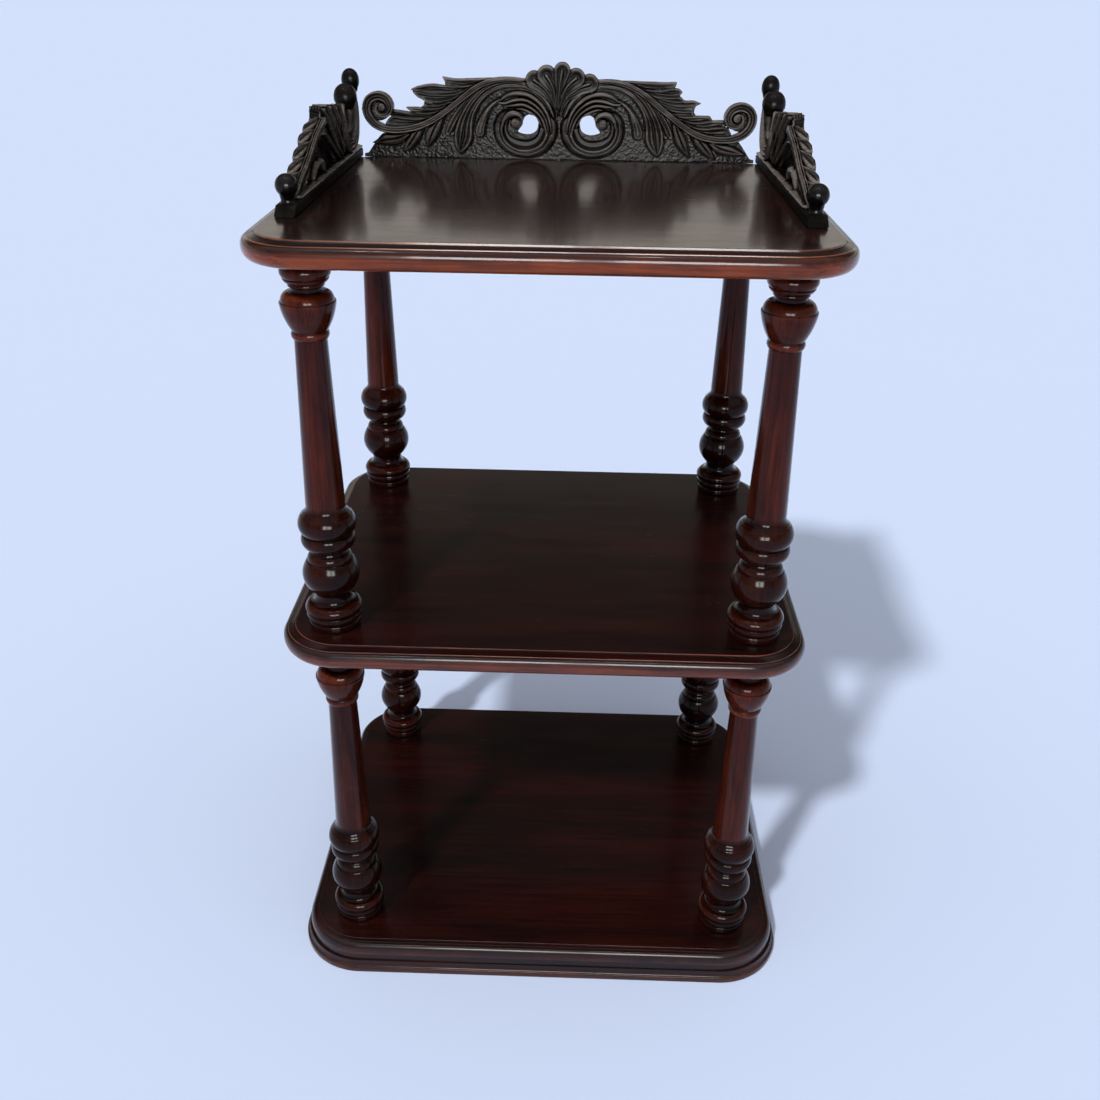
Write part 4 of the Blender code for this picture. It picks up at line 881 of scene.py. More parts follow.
class Relief:
    """Height over the back (H) and signed distance inside the outline (F), on a grid (U, V)."""

    def __init__(self, length, height, ground, step):
        self.step = step
        self.u = np.arange(0, length + step / 2, step)
        self.v = np.arange(0, height + step / 2, step)
        self.U, self.V = np.meshgrid(self.u, self.v)
        self.H = np.full(self.U.shape, float(ground))
        self.F = np.full(self.U.shape, -50.0)

    def window(self, points, margin):
        """The part of the grid that points reach, with a margin."""
        low = points[:, :2].min(0) - margin
        high = points[:, :2].max(0) + margin
        i0, i1 = np.searchsorted(self.u, [low[0], high[0]])
        j0, j1 = np.searchsorted(self.v, [low[1], high[1]])
        return slice(j0, j1), slice(i0, i1)

    def inside(self, outline):
        """Signed distance to a closed outline, positive inside, in the outline's own window."""
        w = self.window(outline, 4.0)
        U, V = self.U[w], self.V[w]
        best = np.full(U.shape, 1e9)
        within = np.zeros(U.shape, bool)
        for (x0, y0), (x1, y1) in zip(np.roll(outline, 1, 0), outline):
            ex, ey = x1 - x0, y1 - y0
            t = np.clip(((U - x0) * ex + (V - y0) * ey) / max(ex * ex + ey * ey, 1e-9), 0, 1)
            best = np.minimum(best, (U - x0 - t * ex) ** 2 + (V - y0 - t * ey) ** 2)
            if y0 != y1:
                within ^= ((y0 > V) != (y1 > V)) & (U < (x1 - x0) * (V - y0) / (y1 - y0) + x0)
        distance = np.sqrt(best)
        return w, np.where(within, distance, -distance)

    def lay(self, w, distance, top, groove, spread, solid=True):
        """Lays a member over what is there, with a cut round it."""
        outside = np.clip(-distance, 0, None)
        H = self.H[w] - groove * np.exp(-(outside / spread) ** 2) * (distance < SOFT)
        share = np.clip((distance + SOFT) / (2 * SOFT), 0, 1)
        share = share * share * (3 - 2 * share)
        self.H[w] = H * (1 - share) + top * share
        if solid:
            self.F[w] = np.maximum(self.F[w], distance)

    def ground(self, parts):
        """The flat plate behind the carving, by the smooth parts of its outline."""
        w, distance = self.inside(outlined(parts))
        self.F[w] = np.maximum(self.F[w], distance)

    def stroke(self, points, section, base, groove=1.2, spread=0.9, solid=True):
        """A member along a line, from a base height up: (u, v, half width, height), or with
        the left and right half widths apart."""
        line = curve([(p[0], p[1], p[2], p[2 if len(p) == 4 else 3], p[-1]) for p in points])
        w = self.window(line, line[:, 2:4].max() + 3)
        U, V = self.U[w].ravel().astype(np.float32), self.V[w].ravel().astype(np.float32)
        way = np.gradient(line[:, :2], axis=0)
        way = (way / (np.linalg.norm(way, axis=1)[:, None] + 1e-9)).astype(np.float32)
        line = line.astype(np.float32)
        widths = np.maximum(line[:, 2:4], 0.15)
        across, distance, height = (np.empty(len(U), np.float32) for _ in range(3))
        chunk = max(1, LINE_CHUNK // len(line))
        for k in range(0, len(U), chunk):
            part = slice(k, k + chunk)
            du = U[part, None] - line[None, :, 0]
            dv = V[part, None] - line[None, :, 1]
            side = dv * way[None, :, 0] - du * way[None, :, 1]
            away = np.sqrt(du * du + dv * dv)
            wide = np.where(side > 0, widths[None, :, 0], widths[None, :, 1])
            share = away / wide
            near = share.argmin(1)
            row = np.arange(len(near))
            across[part] = np.sign(side[row, near]) * share[row, near]
            distance[part] = (wide - away).max(1)
            height[part] = line[near, 4]
        shape = self.U[w].shape
        rise = np.interp(np.clip(across, -1, 1), *np.array(section).T)
        top = base + (height - base) * rise
        self.lay(w, distance.reshape(shape), top.reshape(shape), groove, spread, solid)

    def lobe(self, parts, height, hollow, edge):
        """A leaf's lobe by the smooth parts of its outline, hollowed inside its edge."""
        w, distance = self.inside(outlined(parts))
        t = np.clip(distance / edge, 0, 1)
        rounding = 1 - np.sqrt(np.clip(1 - (1 - np.clip(distance, 0, 1)) ** 2, 0, 1))
        top = height - 1.4 * rounding - hollow * t * t * (3 - 2 * t)
        self.lay(w, distance, top, 1.0, 0.8)

    def line(self, points, amount, width, fade=0.25):
        """A cut (negative) or raised line that fades at its ends."""
        line = curve(points).astype(np.float32)
        w = self.window(line, 3 * width)
        U, V = self.U[w].ravel().astype(np.float32), self.V[w].ravel().astype(np.float32)
        away = (U[:, None] - line[None, :, 0]) ** 2 + (V[:, None] - line[None, :, 1]) ** 2
        along = away.argmin(1) / (len(line) - 1)
        strength = np.clip(np.minimum(along, 1 - along) / fade, 0, 1)
        cut = amount * strength * np.exp(-away.min(1) / width ** 2)
        self.H[w] += cut.reshape(self.U[w].shape)

    def boss(self, place, radius, height, rise, groove, dimple=0.5):
        """A round eye, dimpled in its middle."""
        u, v = place
        w = self.window(np.array([place]), radius + 3)
        away = np.hypot(self.U[w] - u, self.V[w] - v)
        top = height - rise * (1 - np.sqrt(np.clip(1 - (away / radius) ** 2, 0, 1)))
        top -= dimple * np.exp(-(away / (radius * 0.35)) ** 2)
        self.lay(w, radius - away, top, groove, 0.9)

    def pierce(self, points):
        """A hole through the plate."""
        w, distance = self.inside(closed(points))
        self.F[w] = np.minimum(self.F[w], -distance)

    def sink(self, points, ground, slope):
        """A pocket with sloping sides in the plate's face."""
        w, distance = self.inside(closed(points))
        depth = np.clip(distance / slope, 0, 1)
        self.H[w] = self.H[w] * (1 - depth) + ground * depth

    def punch(self, ground):
        """The matted look of a ground worked over with a small punch."""
        dots = np.random.default_rng(PUNCH_SEED).random(self.H.shape)
        dots = blur(dots, 1)
        dots = (dots - dots.mean()) / dots.std()
        flat = np.clip(1 - np.abs(self.H - ground) / 0.5, 0, 1)
        self.H += PUNCH_DEPTH * np.clip(dots, -PUNCH_LIMIT, PUNCH_LIMIT) * flat

    def soften(self):
        """Takes the grid's hardness off the forms."""
        self.H = blur(self.H, 1) * BLUR_SHARE + self.H * (1 - BLUR_SHARE)


def back_half(side, step):
    """Half of the back gallery, from its middle outwards."""
    lobes, veins, leaves, stem, volute, eye = BACK_HALVES[side]
    r = Relief(BACK_HALF_LENGTH, BACK_HEIGHT, BACK_GROUND, step)
    r.ground(BACK_PLATE)
    r.boss(volute, VOLUTE_RADIUS, BACK_GROUND, 0.0, 0.0, 0.0)
    for height, *parts in lobes:
        r.lobe(parts, height, LOBE_HOLLOW, LOBE_EDGE)
    for points in veins:
        r.line(points, VEIN_DEPTH, VEIN_WIDTH)
    for points, widths in leaves:
        r.stroke(line_of(points, widths, LEAF_HEIGHTS), LEAF, 4.6)
    for points in FOLDS:
        r.stroke(points, COVE, 7.4)
    r.stroke(BLADE, TREBLE, BACK_GROUND + 2.4, 1.6, 1.1)
    r.stroke(SCROLL, RING, 2.6, 0.6)
    r.stroke(SCROLL_END, ROLL, 8.4, 0.8)
    r.boss(SCROLL_EYE, 5.7, 11.8, 3.2, 1.6)
    for points in TONGUES:
        r.stroke(points, ROLL, 7.4, 1.3, 0.8)
    r.stroke(DROP_LEAF, DROP, BACK_GROUND, 1.3, 1.0)
    r.stroke(line_of(stem, STEM_WIDTHS, STEM_HEIGHTS), DOUBLE, 8.4, 1.5, 1.0)
    r.boss(eye, 4.6, 11.8, 3.0, 1.4, 0.4)
    r.pierce(PIERCING)
    return r


def back_relief(step):
    """The whole back gallery, u from its left end."""
    left, right = back_half("left", step), back_half("right", step)
    for field in ("H", "F"):
        mirrored = getattr(left, field)[:, :0:-1]
        setattr(right, field, np.hstack([mirrored, getattr(right, field)]))
    right.u = np.concatenate([-left.u[:0:-1], right.u])
    right.U, right.V = np.meshgrid(right.u, right.v)
    for points in SHELL:
        right.stroke(points, FLUTE, 6.2, 0.9, 0.7)
    for points in SHELL_RIBS:
        right.line(points, 1.4, 0.7)
    right.punch(BACK_GROUND)
    right.soften()
    return right


def leaf_relief(step):
    """The leaf on a side gallery's front slope, laid flat."""
    r = Relief(LEAF_LENGTH, SIDE_THICKNESS, LAID_GROUND, step)
    far = LEAF_LENGTH + 2
    r.ground((((3, 2), (12, 0.3)), ((far, 0.3),), ((far, 16),),
              ((100, 13.4), (50, 12.4), (14, 11.6), (0.6, 7))))
    for tip in LEAF_TIPS:
        finger = ((tip + 38, 5.0), (tip + 25, 7.4), (tip + 13, 10.4), (tip + 4, 13.4),
                  (tip - 1, 16.0))
        r.stroke(line_of(finger, (2.4, 5.2, 7.0, 5.6, 1.0), (4.8, 5.8, 6.4, 6.2, 4.6)),
                 FINGER, LAID_GROUND, 3.4, 0.8)
        r.line(((tip + 28, 5.4), (tip + 16, 7.6), (tip + 8, 10.6)), -0.9, 0.5)
        r.line(((tip + 28, 8.8), (tip + 18, 12.0), (tip + 9, 14.8)), -0.9, 0.5)
    for tip in LEAF_TIPS[1:]:
        r.line(((tip - 2.5, 18.0), (tip - 3.5, 13.0), (tip + 1, 8.8), (tip + 10, 5.4)),
               -4.0, 1.0, 0.15)
        r.line(((tip - 3, 19.0), (tip - 4, 16.0), (tip - 3, 12.0)), -3.5, 1.7, 0.2)
    r.stroke(LEAF_RIB, DOUBLE, 3.0, 1.2, 0.8)
    r.soften()
    return r


def crest_relief(step):
    """The fluted tip of a side gallery's crest, laid flat."""
    r = Relief(CREST_LENGTH, SIDE_THICKNESS, LAID_GROUND, step)
    far = CREST_LENGTH + 2
    r.ground((((far, 6.4),), ((far, 17),), ((-2, 17),), ((-2, 6.4),)))
    for middle in CREST_FLUTES:
        r.stroke(line_of(((-1, middle), (far, middle)), (1.25, 1.25), (4.2, 4.2)),
                 ROLL, 1.2, 1.2, 0.6)
    r.soften()
    return r


def side_relief(step):
    """A side gallery's inner face."""
    r = Relief(SIDE_LENGTH, SIDE_HEIGHT, SIDE_GROUND, step)
    r.ground(SIDE_PLATE)
    r.stroke(SIDE_FOOT, ROLL, SIDE_GROUND, 0.8, solid=False)
    r.stroke(SIDE_ARCH, RIM, 9.0, 0.6, solid=False)
    r.sink(SIDE_POCKET, POCKET_GROUND, POCKET_SLOPE)
    for points in SIDE_CURLS:
        r.stroke(points, ROLL, 8.0)
    for points in SIDE_FOLDS:
        r.stroke(points, COVE, 9.0, 2.2, 1.0, solid=False)
    r.stroke(SIDE_SCROLL, TREBLE, 9.0, 1.6, solid=False)
    r.stroke(SIDE_DROP, ROLL, 10.0, 1.4, solid=False)
    r.soften()
    return r


def relief_mesh(r, place, name, rounds):
    """A closed mesh of a relief: carved face, walls along its outline, and its back.

    place(u, v, h) gives the points in metres from drawing places and heights above the back.
    """
    F = r.F
    front, back = (radius * (1 - np.sqrt(1 - np.clip(1 - F / radius, 0, 1) ** 2))
                   for radius in rounds)
    H = np.maximum(r.H - front, THINNEST)
    # Paler where the face stands proud of its blurred self: partly wear, partly a painted sheen on
    # the ridges
    wear = np.clip(0.5 + (H - blur(H, round(SHEEN_AND_WEAR_REACH / r.step))) * SHEEN_AND_WEAR_GAIN, 0, 1)
    solid = F > 0
    index = np.full(F.shape, -1)
    index[solid] = np.arange(solid.sum())
    points = [r.U[solid], r.V[solid], H[solid], back[solid], wear[solid]]
    count = int(solid.sum())
    extra = {}
    added = []

    def crossing(a, b):
        """The outline's point between two neighbouring grid points, one inside, one outside."""
        key = (a, b) if a < b else (b, a)
        if key not in extra:
            (a, b) = key
            share = F[a] / (F[a] - F[b])
            share = min(0.96, max(0.04, share))
            inner = a if F[a] > 0 else b
            added.append([field[a] + (field[b] - field[a]) * share for field in (r.U, r.V)]
                         + [field[inner] for field in (H, back, wear)])
            extra[key] = count + len(added) - 1
        return extra[key]

    corners_of = [solid[:-1, :-1], solid[1:, :-1], solid[:-1, 1:], solid[1:, 1:]]
    full = np.logical_and.reduce(corners_of)
    some = np.logical_or.reduce(corners_of) & ~full
    quads = np.stack([index[:-1, :-1][full], index[:-1, 1:][full], index[1:, 1:][full],
                      index[1:, :-1][full]], 1)
    partial, walls = [], []
    for j, i in zip(*np.nonzero(some)):
        corners = [(j, i), (j, i + 1), (j + 1, i + 1), (j + 1, i)]
        ring, cut = [], []
        for k in range(4):
            a, b = corners[k], corners[(k + 1) % 4]
            if solid[a]:
                ring.append(index[a])
            if solid[a] != solid[b]:
                ring.append(crossing(a, b))
                cut.append((len(ring) - 1, solid[a]))
        if len(cut) == 2:
            partial.append(ring)
            (first, leaving), (second, _) = cut
            walls.append((ring[first], ring[second]) if leaving else (ring[second], ring[first]))
        else:
            for position, leaving in cut:
                if leaving:
                    continue
                after, before = (ring[(position + n) % len(ring)] for n in (1, 2))
                partial.append([ring[position], after, before])
                walls.append((before, ring[position]))
    if added:
        points = [np.concatenate(pair) for pair in zip(points, np.array(added).T)]
    u, v, top, bottom, worn = points
    total = len(u)
    vertices = np.vstack([place(u, v, top), place(u, v, bottom)])
    faces = [quads, quads[:, ::-1] + total]
    polygons = [list(face) for face in partial]
    polygons += [[n + total for n in reversed(face)] for face in partial]
    polygons += [[a, a + total, b + total, b] for a, b in walls]
    loops = np.concatenate([np.concatenate(faces).ravel(),
                            np.array([n for f in polygons for n in f], int)])
    sizes = np.concatenate([np.full(2 * len(quads), 4), np.array([len(f) for f in polygons], int)])
    wear = np.concatenate([worn, np.full(total, 0.5)])
    return plain_mesh(name, vertices.ravel(), loops, sizes, wear)


def grid_step():
    return GRID


def back_gallery():
    """The carved back gallery: its carving faces the front, its back is the box's rear plane."""
    low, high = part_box("back_gallery")
    scale_u = (high.x - low.x) / 2 / BACK_HALF_LENGTH
    scale_v = (high.z - low.z) / BACK_HEIGHT
    scale_h = (high.y - low.y) / BACK_THICKNESS

    def place(u, v, h):
        return np.stack([(low.x + high.x) / 2 + u * scale_u, high.y - h * scale_h,
                         low.z + v * scale_v], 1)

    name = "back_gallery_carved"
    return finish_carving(name, relief_mesh(back_relief(grid_step()), place, name, BACK_ROUNDS))


def wrapped(path, top, place):
    """Places a relief that was drawn flat on a path over a side gallery's edge."""
    line = curve(path)
    along = np.concatenate([[0], np.cumsum(np.hypot(*np.diff(line, axis=0).T))])
    way = np.gradient(line, axis=0)
    way /= np.linalg.norm(way, axis=1)[:, None]

    def place_laid(u, v, h):
        at = [np.interp(u, along, line[:, k]) for k in (0, 1)]
        du, dv = (np.interp(u, along, way[:, k]) for k in (0, 1))
        side_u = np.clip(at[0] + dv * (h - top), 0, SIDE_LENGTH)
        side_v = np.clip(at[1] - du * (h - top), 0, SIDE_HEIGHT)
        return place(side_u, side_v, SIDE_THICKNESS - v)

    return place_laid


def lobe_mesh(name, centre, sizes, narrow, lean):
    """A rounded, slightly pear-shaped lobe with a shallow seam round it, as a closed mesh."""
    bm = bmesh.new()
    bmesh.ops.create_uvsphere(bm, u_segments=LOBE_SEGMENTS[0], v_segments=LOBE_SEGMENTS[1],
                              radius=1.0)
    wear = bm.verts.layers.float.new("wear")
    seam_depth, seam_place, seam_width = LOBE_SEAM
    for vert in bm.verts:
        x, y, z = vert.co
        slim = 1 - narrow * (1 - z) / 2
        seam = 1 - seam_depth * math.exp(-((z - seam_place) / seam_width) ** 2)
        vert.co = (centre[0] + x * sizes[0] * slim * seam,
                   centre[1] + y * sizes[1] * slim * seam + lean * (1 - z),
                   centre[2] + z * sizes[2])
        vert[wear] = LOBE_SHEEN_AND_WEAR[0] + LOBE_SHEEN_AND_WEAR[1] * max(0.0, z)
    return raw_mesh(bm, name)


def side_gallery(side):
    """A side gallery: a carved plate, the leaf over its slope, its crest's tip, and two lobes."""
    node = "side_gallery_" + side
    low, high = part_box(node)
    step = grid_step()
    fine = step * FINE_GRID_SHARE
    sign = 1 if side == "right" else -1
    outer = high.x if side == "right" else low.x
    scale_u = (high.y - low.y) / SIDE_LENGTH
    scale_v = (high.z - low.z) / SIDE_HEIGHT
    scale_h = (high.x - low.x) / SIDE_THICKNESS

    def place(u, v, h):
        return np.stack([outer - sign * h * scale_h, high.y - u * scale_u, low.z + v * scale_v], 1)

    name = node + "_carved"
    on_leaf, on_crest = wrapped(LEAF_PATH, LEAF_TOP, place), wrapped(CREST_PATH, CREST_TOP, place)
    parts = [
        relief_mesh(side_relief(step), place, name, SIDE_ROUNDS),
        relief_mesh(leaf_relief(fine), on_leaf, name, LAID_ROUNDS),
        relief_mesh(crest_relief(fine), on_crest, name, LAID_ROUNDS),
    ]
    for u, v, across, along, up, narrow, lean in SIDE_LOBES:
        centre = ((low.x + high.x) / 2, high.y - u * scale_u, low.z + v * scale_v)
        sizes = (across * scale_h, along * scale_u, up * scale_v)
        parts.append(lobe_mesh(name, centre, sizes, narrow, lean * MM))
    return finish_carving(name, joined(name, parts))


def joined(name, parts):
    """One mesh of several, each with its wear."""
    vertices, wear, loops, sizes = [], [], [], []
    total = 0
    for part in parts:
        count = len(part.vertices)
        places = np.empty(count * 3, np.float32)
        part.vertices.foreach_get("co", places)
        worn = np.empty(count, np.float32)
        part.attributes["wear"].data.foreach_get("value", worn)
        corners = np.empty(len(part.loops), np.int32)
        part.loops.foreach_get("vertex_index", corners)
        counts = np.empty(len(part.polygons), np.int32)
        part.polygons.foreach_get("loop_total", counts)
        vertices.append(places)
        wear.append(worn)
        loops.append(corners + total)
        sizes.append(counts)
        total += count
        bpy.data.meshes.remove(part)
    return plain_mesh(name, *(np.concatenate(field) for field in (vertices, loops, sizes, wear)))


def plain_mesh(name, vertices, loops, sizes, wear):
    """A mesh from flat lists: places, the faces' corners, the faces' sizes, and the wear."""
    mesh = bpy.data.meshes.new(name)
    mesh.vertices.add(len(vertices) // 3)
    mesh.vertices.foreach_set("co", vertices.astype(np.float32))
    mesh.loops.add(len(loops))
    mesh.loops.foreach_set("vertex_index", loops.astype(np.int32))
    mesh.polygons.add(len(sizes))
    starts = np.concatenate([[0], np.cumsum(sizes)[:-1]])
    mesh.polygons.foreach_set("loop_start", starts.astype(np.int32))
    mesh.update(calc_edges=True)
    mesh.validate()
    attribute = mesh.attributes.new("wear", "FLOAT", "POINT")
    attribute.data.foreach_set("value", wear.astype(np.float32))
    return mesh


def finish_carving(name, mesh):
    """Turns the faces out and smooths them."""
    piece = new_object(name, mesh)
    bm = bmesh.new()
    bm.from_mesh(mesh)
    bmesh.ops.recalc_face_normals(bm, faces=bm.faces[:])
    bm.to_mesh(mesh)
    bm.free()
    mesh.shade_smooth()
    mesh.set_sharp_from_angle(angle=math.radians(SHARP_CARVING))
    return piece


def place_camera():
    """The photograph's camera: where it stood, and which way it looked."""
    cos_p, sin_p = math.cos(CAMERA_PITCH), math.sin(CAMERA_PITCH)
    forward = Vector((math.sin(CAMERA_YAW) * cos_p, math.cos(CAMERA_YAW) * cos_p, -sin_p))
    right = Vector((math.cos(CAMERA_YAW), -math.sin(CAMERA_YAW), 0))
    up = right.cross(forward)
    rolled_right = right * math.cos(CAMERA_ROLL) + up * math.sin(CAMERA_ROLL)
    rolled_up = up * math.cos(CAMERA_ROLL) - right * math.sin(CAMERA_ROLL)
    data = bpy.data.cameras.new("camera")
    data.lens = CAMERA_LENS
    data.sensor_width = CAMERA_SENSOR
    data.clip_start, data.clip_end = CAMERA_CLIP
    camera = new_object("camera", data)
    camera.matrix_world = Matrix((
        (rolled_right.x, rolled_up.x, -forward.x, CAMERA_PLACE.x),
        (rolled_right.y, rolled_up.y, -forward.y, CAMERA_PLACE.y),
        (rolled_right.z, rolled_up.z, -forward.z, CAMERA_PLACE.z),
        (0, 0, 0, 1),
    ))
    bpy.context.scene.camera = camera


class Nodes:
    """A short way to build a material's nodes."""

    def __init__(self, tree):
        self.tree = tree

    def add(self, kind, inputs=None, **settings):
        node = self.tree.nodes.new("ShaderNode" + kind)
        for name, value in settings.items():
            setattr(node, name, value)
        for name, value in (inputs or {}).items():
            self.put(node.inputs[name], value)
        return node

    def put(self, socket, value):
        if isinstance(value, bpy.types.NodeSocket):
            self.tree.links.new(value, socket)
        else:
            socket.default_value = value

    def ramp(self, value, stops):
        node = self.add("ValToRGB", {"Fac": value})
        elements = node.color_ramp.elements
        for number, (position, colour) in enumerate(stops):
            element = elements[number] if number < len(elements) else elements.new(position)
            element.position = position
            element.color = (*colour, 1)
        return node.outputs["Color"]

    def mix(self, amount, first, second, blend="MIX"):
        node = self.add("Mix", data_type="RGBA", blend_type=blend)
        self.put(node.inputs[0], amount)
        for socket, colour in ((node.inputs[6], first), (node.inputs[7], second)):
            self.put(socket, colour if isinstance(colour, bpy.types.NodeSocket) else (*colour, 1))
        return node.outputs[2]

    def math(self, operation, first, second):
        node = self.add("Math", operation=operation)
        self.put(node.inputs[0], first)
        self.put(node.inputs[1], second)
        return node.outputs[0]


def new_material(name):
    """A material, its nodes and its shader."""
    material = bpy.data.materials.new(name)
    material.use_nodes = True
    return material, Nodes(material.node_tree), material.node_tree.nodes["Principled BSDF"]


def stretched_noise(nodes, grain, along, across, detail, roughness):
    """Noise drawn out along the grain's axis."""
    where = nodes.add("TexCoord").outputs["Object"]
    scale = [along if axis == grain else across for axis in "xyz"]
    mapped = nodes.add("Mapping", {"Vector": where, "Scale": scale})
    noise = nodes.add("TexNoise", {"Vector": mapped.outputs[0], "Scale": 1.0, "Detail": detail,
                                   "Roughness": roughness, "Distortion": 0.35})
    return noise.outputs["Fac"]


def mahogany(name, grain, dark, red, worn, roughness, ior=1.34, coat=0.3, coat_roughness=0.07,
             matting=0.0, rub=(1.5, 0.05, 0.20, 0.75)):
    """Polished mahogany: grain along one axis, redder figure, worn edges, darker where marked."""
    material, nodes, shader = new_material(name)
    figure = stretched_noise(nodes, grain, *FIGURE)
    streak = stretched_noise(nodes, grain, *STREAK)
    pores = stretched_noise(nodes, grain, *PORES)
    body = nodes.mix(nodes.ramp(figure, ((0.34, BLACK), (0.68, WHITE))), dark, red)
    lines = nodes.ramp(streak, ((0.36, (0.40, 0.36, 0.36)), (0.64, (1.2, 1.2, 1.2))))
    body = nodes.mix(0.85, body, lines, "MULTIPLY")

    # The worn colour follows the wear attribute; on the carving that is partly a painted sheen on
    # the ridges
    wear = nodes.add("Attribute", attribute_name="wear").outputs["Fac"]
    patches, evenness, first, last = rub
    rubbed = nodes.math("MULTIPLY", stretched_noise(nodes, grain, *RUBBED), patches)
    patchy = nodes.math("MULTIPLY", wear, nodes.math("ADD", rubbed, evenness))
    amount = nodes.ramp(patchy, ((first, BLACK), (last, WHITE)))
    colour = nodes.mix(amount, body, nodes.mix(0.75, worn, lines, "MULTIPLY"))

    # Darker where the dark attribute is set: a post's lower turnings and, less, its head
    old = nodes.add("Attribute", attribute_name="dark").outputs["Fac"]
    cloud = nodes.ramp(figure, ((0.35, WHITE), (0.80, (0.80, 0.80, 0.80))))
    blackened = nodes.mix(0.95, colour, DARKENING_TINT, "MULTIPLY")
    colour = nodes.mix(nodes.math("MULTIPLY", old, cloud), colour, blackened)
    nodes.put(shader.inputs["Base Color"], colour)

    polish = nodes.math("MULTIPLY", stretched_noise(nodes, grain, *POLISH), 0.16)
    nodes.put(shader.inputs["Roughness"], nodes.math("ADD", polish, roughness - 0.08))
    shader.inputs["IOR"].default_value = ior
    shader.inputs["Coat Weight"].default_value = coat
    shader.inputs["Coat Roughness"].default_value = coat_roughness
    shader.inputs["Coat IOR"].default_value = ior

    normal = nodes.add("Bump", {"Height": pores, "Strength": 0.35, "Distance": PORE_DEPTH * MM})
    if matting:
        grit = nodes.add("TexNoise", {"Vector": nodes.add("TexCoord").outputs["Object"],
                                      "Scale": GRIT_SCALE, "Detail": 2.0, "Roughness": 0.6})
        normal = nodes.add("Bump", {"Height": grit.outputs["Fac"], "Strength": 0.6,
                                    "Distance": matting * MM, "Normal": normal.outputs[0]})
    waves = nodes.add("Bump", {"Height": stretched_noise(nodes, grain, *WAVES), "Strength": 0.3,
                               "Distance": WAVE_DEPTH * MM, "Normal": normal.outputs[0]})
    nodes.put(shader.inputs["Normal"], waves.outputs[0])
    nodes.put(shader.inputs["Coat Normal"], waves.outputs[0])
    return material


def birch():
    """The plain dowels' wood."""
    material, nodes, shader = new_material("birch")
    streak = stretched_noise(nodes, "z", *BIRCH_STREAK)
    nodes.put(shader.inputs["Base Color"],
              nodes.ramp(streak, ((0.3, (0.36, 0.23, 0.12)), (0.7, (0.55, 0.39, 0.22)))))
    shader.inputs["Roughness"].default_value = 0.6
    return material


def stage():
    """A pale floor that runs to the horizon."""
    bm = bmesh.new()
    bmesh.ops.create_grid(bm, x_segments=2, y_segments=2, size=FLOOR_HALF_SIZE)
    mesh = raw_mesh(bm, "floor")
    floor = new_object("floor", mesh)
    material, _, shader = new_material("pale_floor")
    shader.inputs["Base Color"].default_value = FLOOR_COLOUR
    shader.inputs["Roughness"].default_value = 0.9
    shader.inputs["Specular IOR Level"].default_value = 0.0
    mesh.materials.append(material)


def towards(direction):
    """A lamp's rotation so that it shines in a direction."""
    return direction.to_track_quat("-Z", "Y").to_euler()


def gloss_light(name, place, aim, width, height, radiance):
    """A small lit pane that shows in the polish and nowhere else."""
    data = bpy.data.lights.new(name, "AREA")
    data.shape = "RECTANGLE"
    data.size = width
    data.size_y = height
    data.energy = radiance * math.pi * width * height
    light = new_object(name, data)
    light.location = place
    light.rotation_euler = towards(Vector(aim) - Vector(place))
    light.visible_diffuse = False
    light.visible_camera = False


def world_light():
    """A room by direction: pale walls near the horizon, dark behind the table, bright overhead."""
    world = bpy.data.worlds.new("room")
    bpy.context.scene.world = world
    world.use_nodes = True
    nodes = Nodes(world.node_tree)
    background = world.node_tree.nodes["Background"]
    where = nodes.add("SeparateXYZ", {"Vector": nodes.add("TexCoord").outputs["Generated"]})
    front, rear = (nodes.ramp(where.outputs["Z"], sky) for sky in (FRONT_SKY, REAR_SKY))
    turn_round = nodes.ramp(where.outputs["Y"], ((0.05, BLACK), (0.5, WHITE)))
    nodes.put(background.inputs["Color"], nodes.mix(turn_round, front, rear))
    background.inputs["Strength"].default_value = 1.0


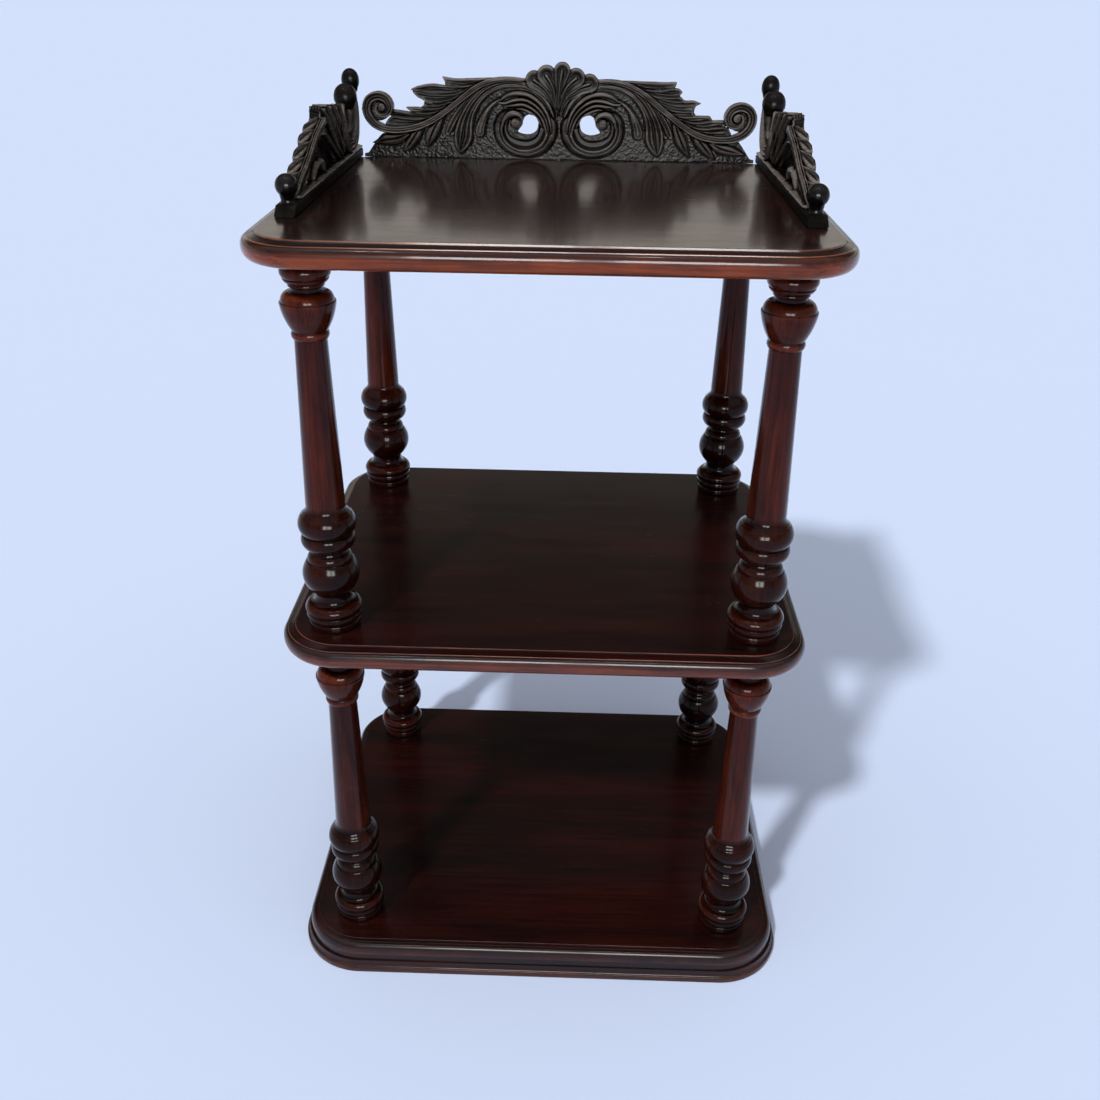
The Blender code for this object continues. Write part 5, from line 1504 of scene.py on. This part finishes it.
def sun_light():
    """A wide, soft sun that gives the light and the shadow but no highlights."""
    data = bpy.data.lights.new("sun", "SUN")
    data.energy = SUN_ENERGY
    data.angle = math.radians(SUN_WIDTH_DEGREES)
    light = new_object("sun", data)
    light.visible_glossy = False
    light.rotation_euler = towards(-Vector(SUN_DIRECTION))


def lights():
    world_light()
    sun_light()
    for pane in PANES:
        gloss_light(*pane)


def build():
    """Every piece, with its wood."""
    woods = {name: mahogany(name, **look) for name, look in WOODS.items()}
    shelf_wood, carved_wood = woods["shelf_wood"], woods["carved_wood"]
    # The middle shelf and the base take shelf_wood, the darker copy: painted shade under the
    # shelves above
    dress(board("base_board", BASE_CORNER, BASE_EDGE), shelf_wood, "base_board")
    dress(board("middle_shelf", SHELF_CORNER, SHELF_EDGE), shelf_wood, "middle_shelf")
    top = dress(board("top_shelf", SHELF_CORNER, SHELF_EDGE), woods["top_shelf_wood"],
                "top_shelf")
    # The top's edge below the thumb takes a redder, paler copy of the wood, partly painted light
    top.data.materials.append(woods["top_edge_wood_with_painted_light"])
    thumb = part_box("top_shelf")[1].z - THUMB_DROP * MM
    for face in top.data.polygons:
        face.material_index = int(face.center.z < thumb)
    for side in PLINTH_SIDES:
        wood = woods["plinth_wood" if side in ("front", "back") else "plinth_side_wood"]
        node = "plinth_" + side
        dress(plinth_rail(node, PLINTH_CORNER, PLINTH_EDGE), wood, node)
    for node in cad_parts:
        if "_post_" in node:
            dress(post(node), woods["post_wood"], node)
    for side in ("left", "right"):
        ball, rail = "finial_" + side, "gallery_rail_" + side
        dress(finial(ball), woods["ball_wood"], ball)
        dress(gallery_rail(rail), woods["rail_wood"], rail)
    dowel_wood = birch()
    for name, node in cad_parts.items():
        if "dowel" in name:
            node.data.materials.clear()
            node.data.materials.append(dowel_wood)
    dress(back_gallery(), carved_wood, "back_gallery")
    for side in ("left", "right"):
        dress(side_gallery(side), carved_wood, "side_gallery_" + side)


build()
place_camera()
stage()
lights()
bpy.context.scene.view_settings.view_transform = "Standard"
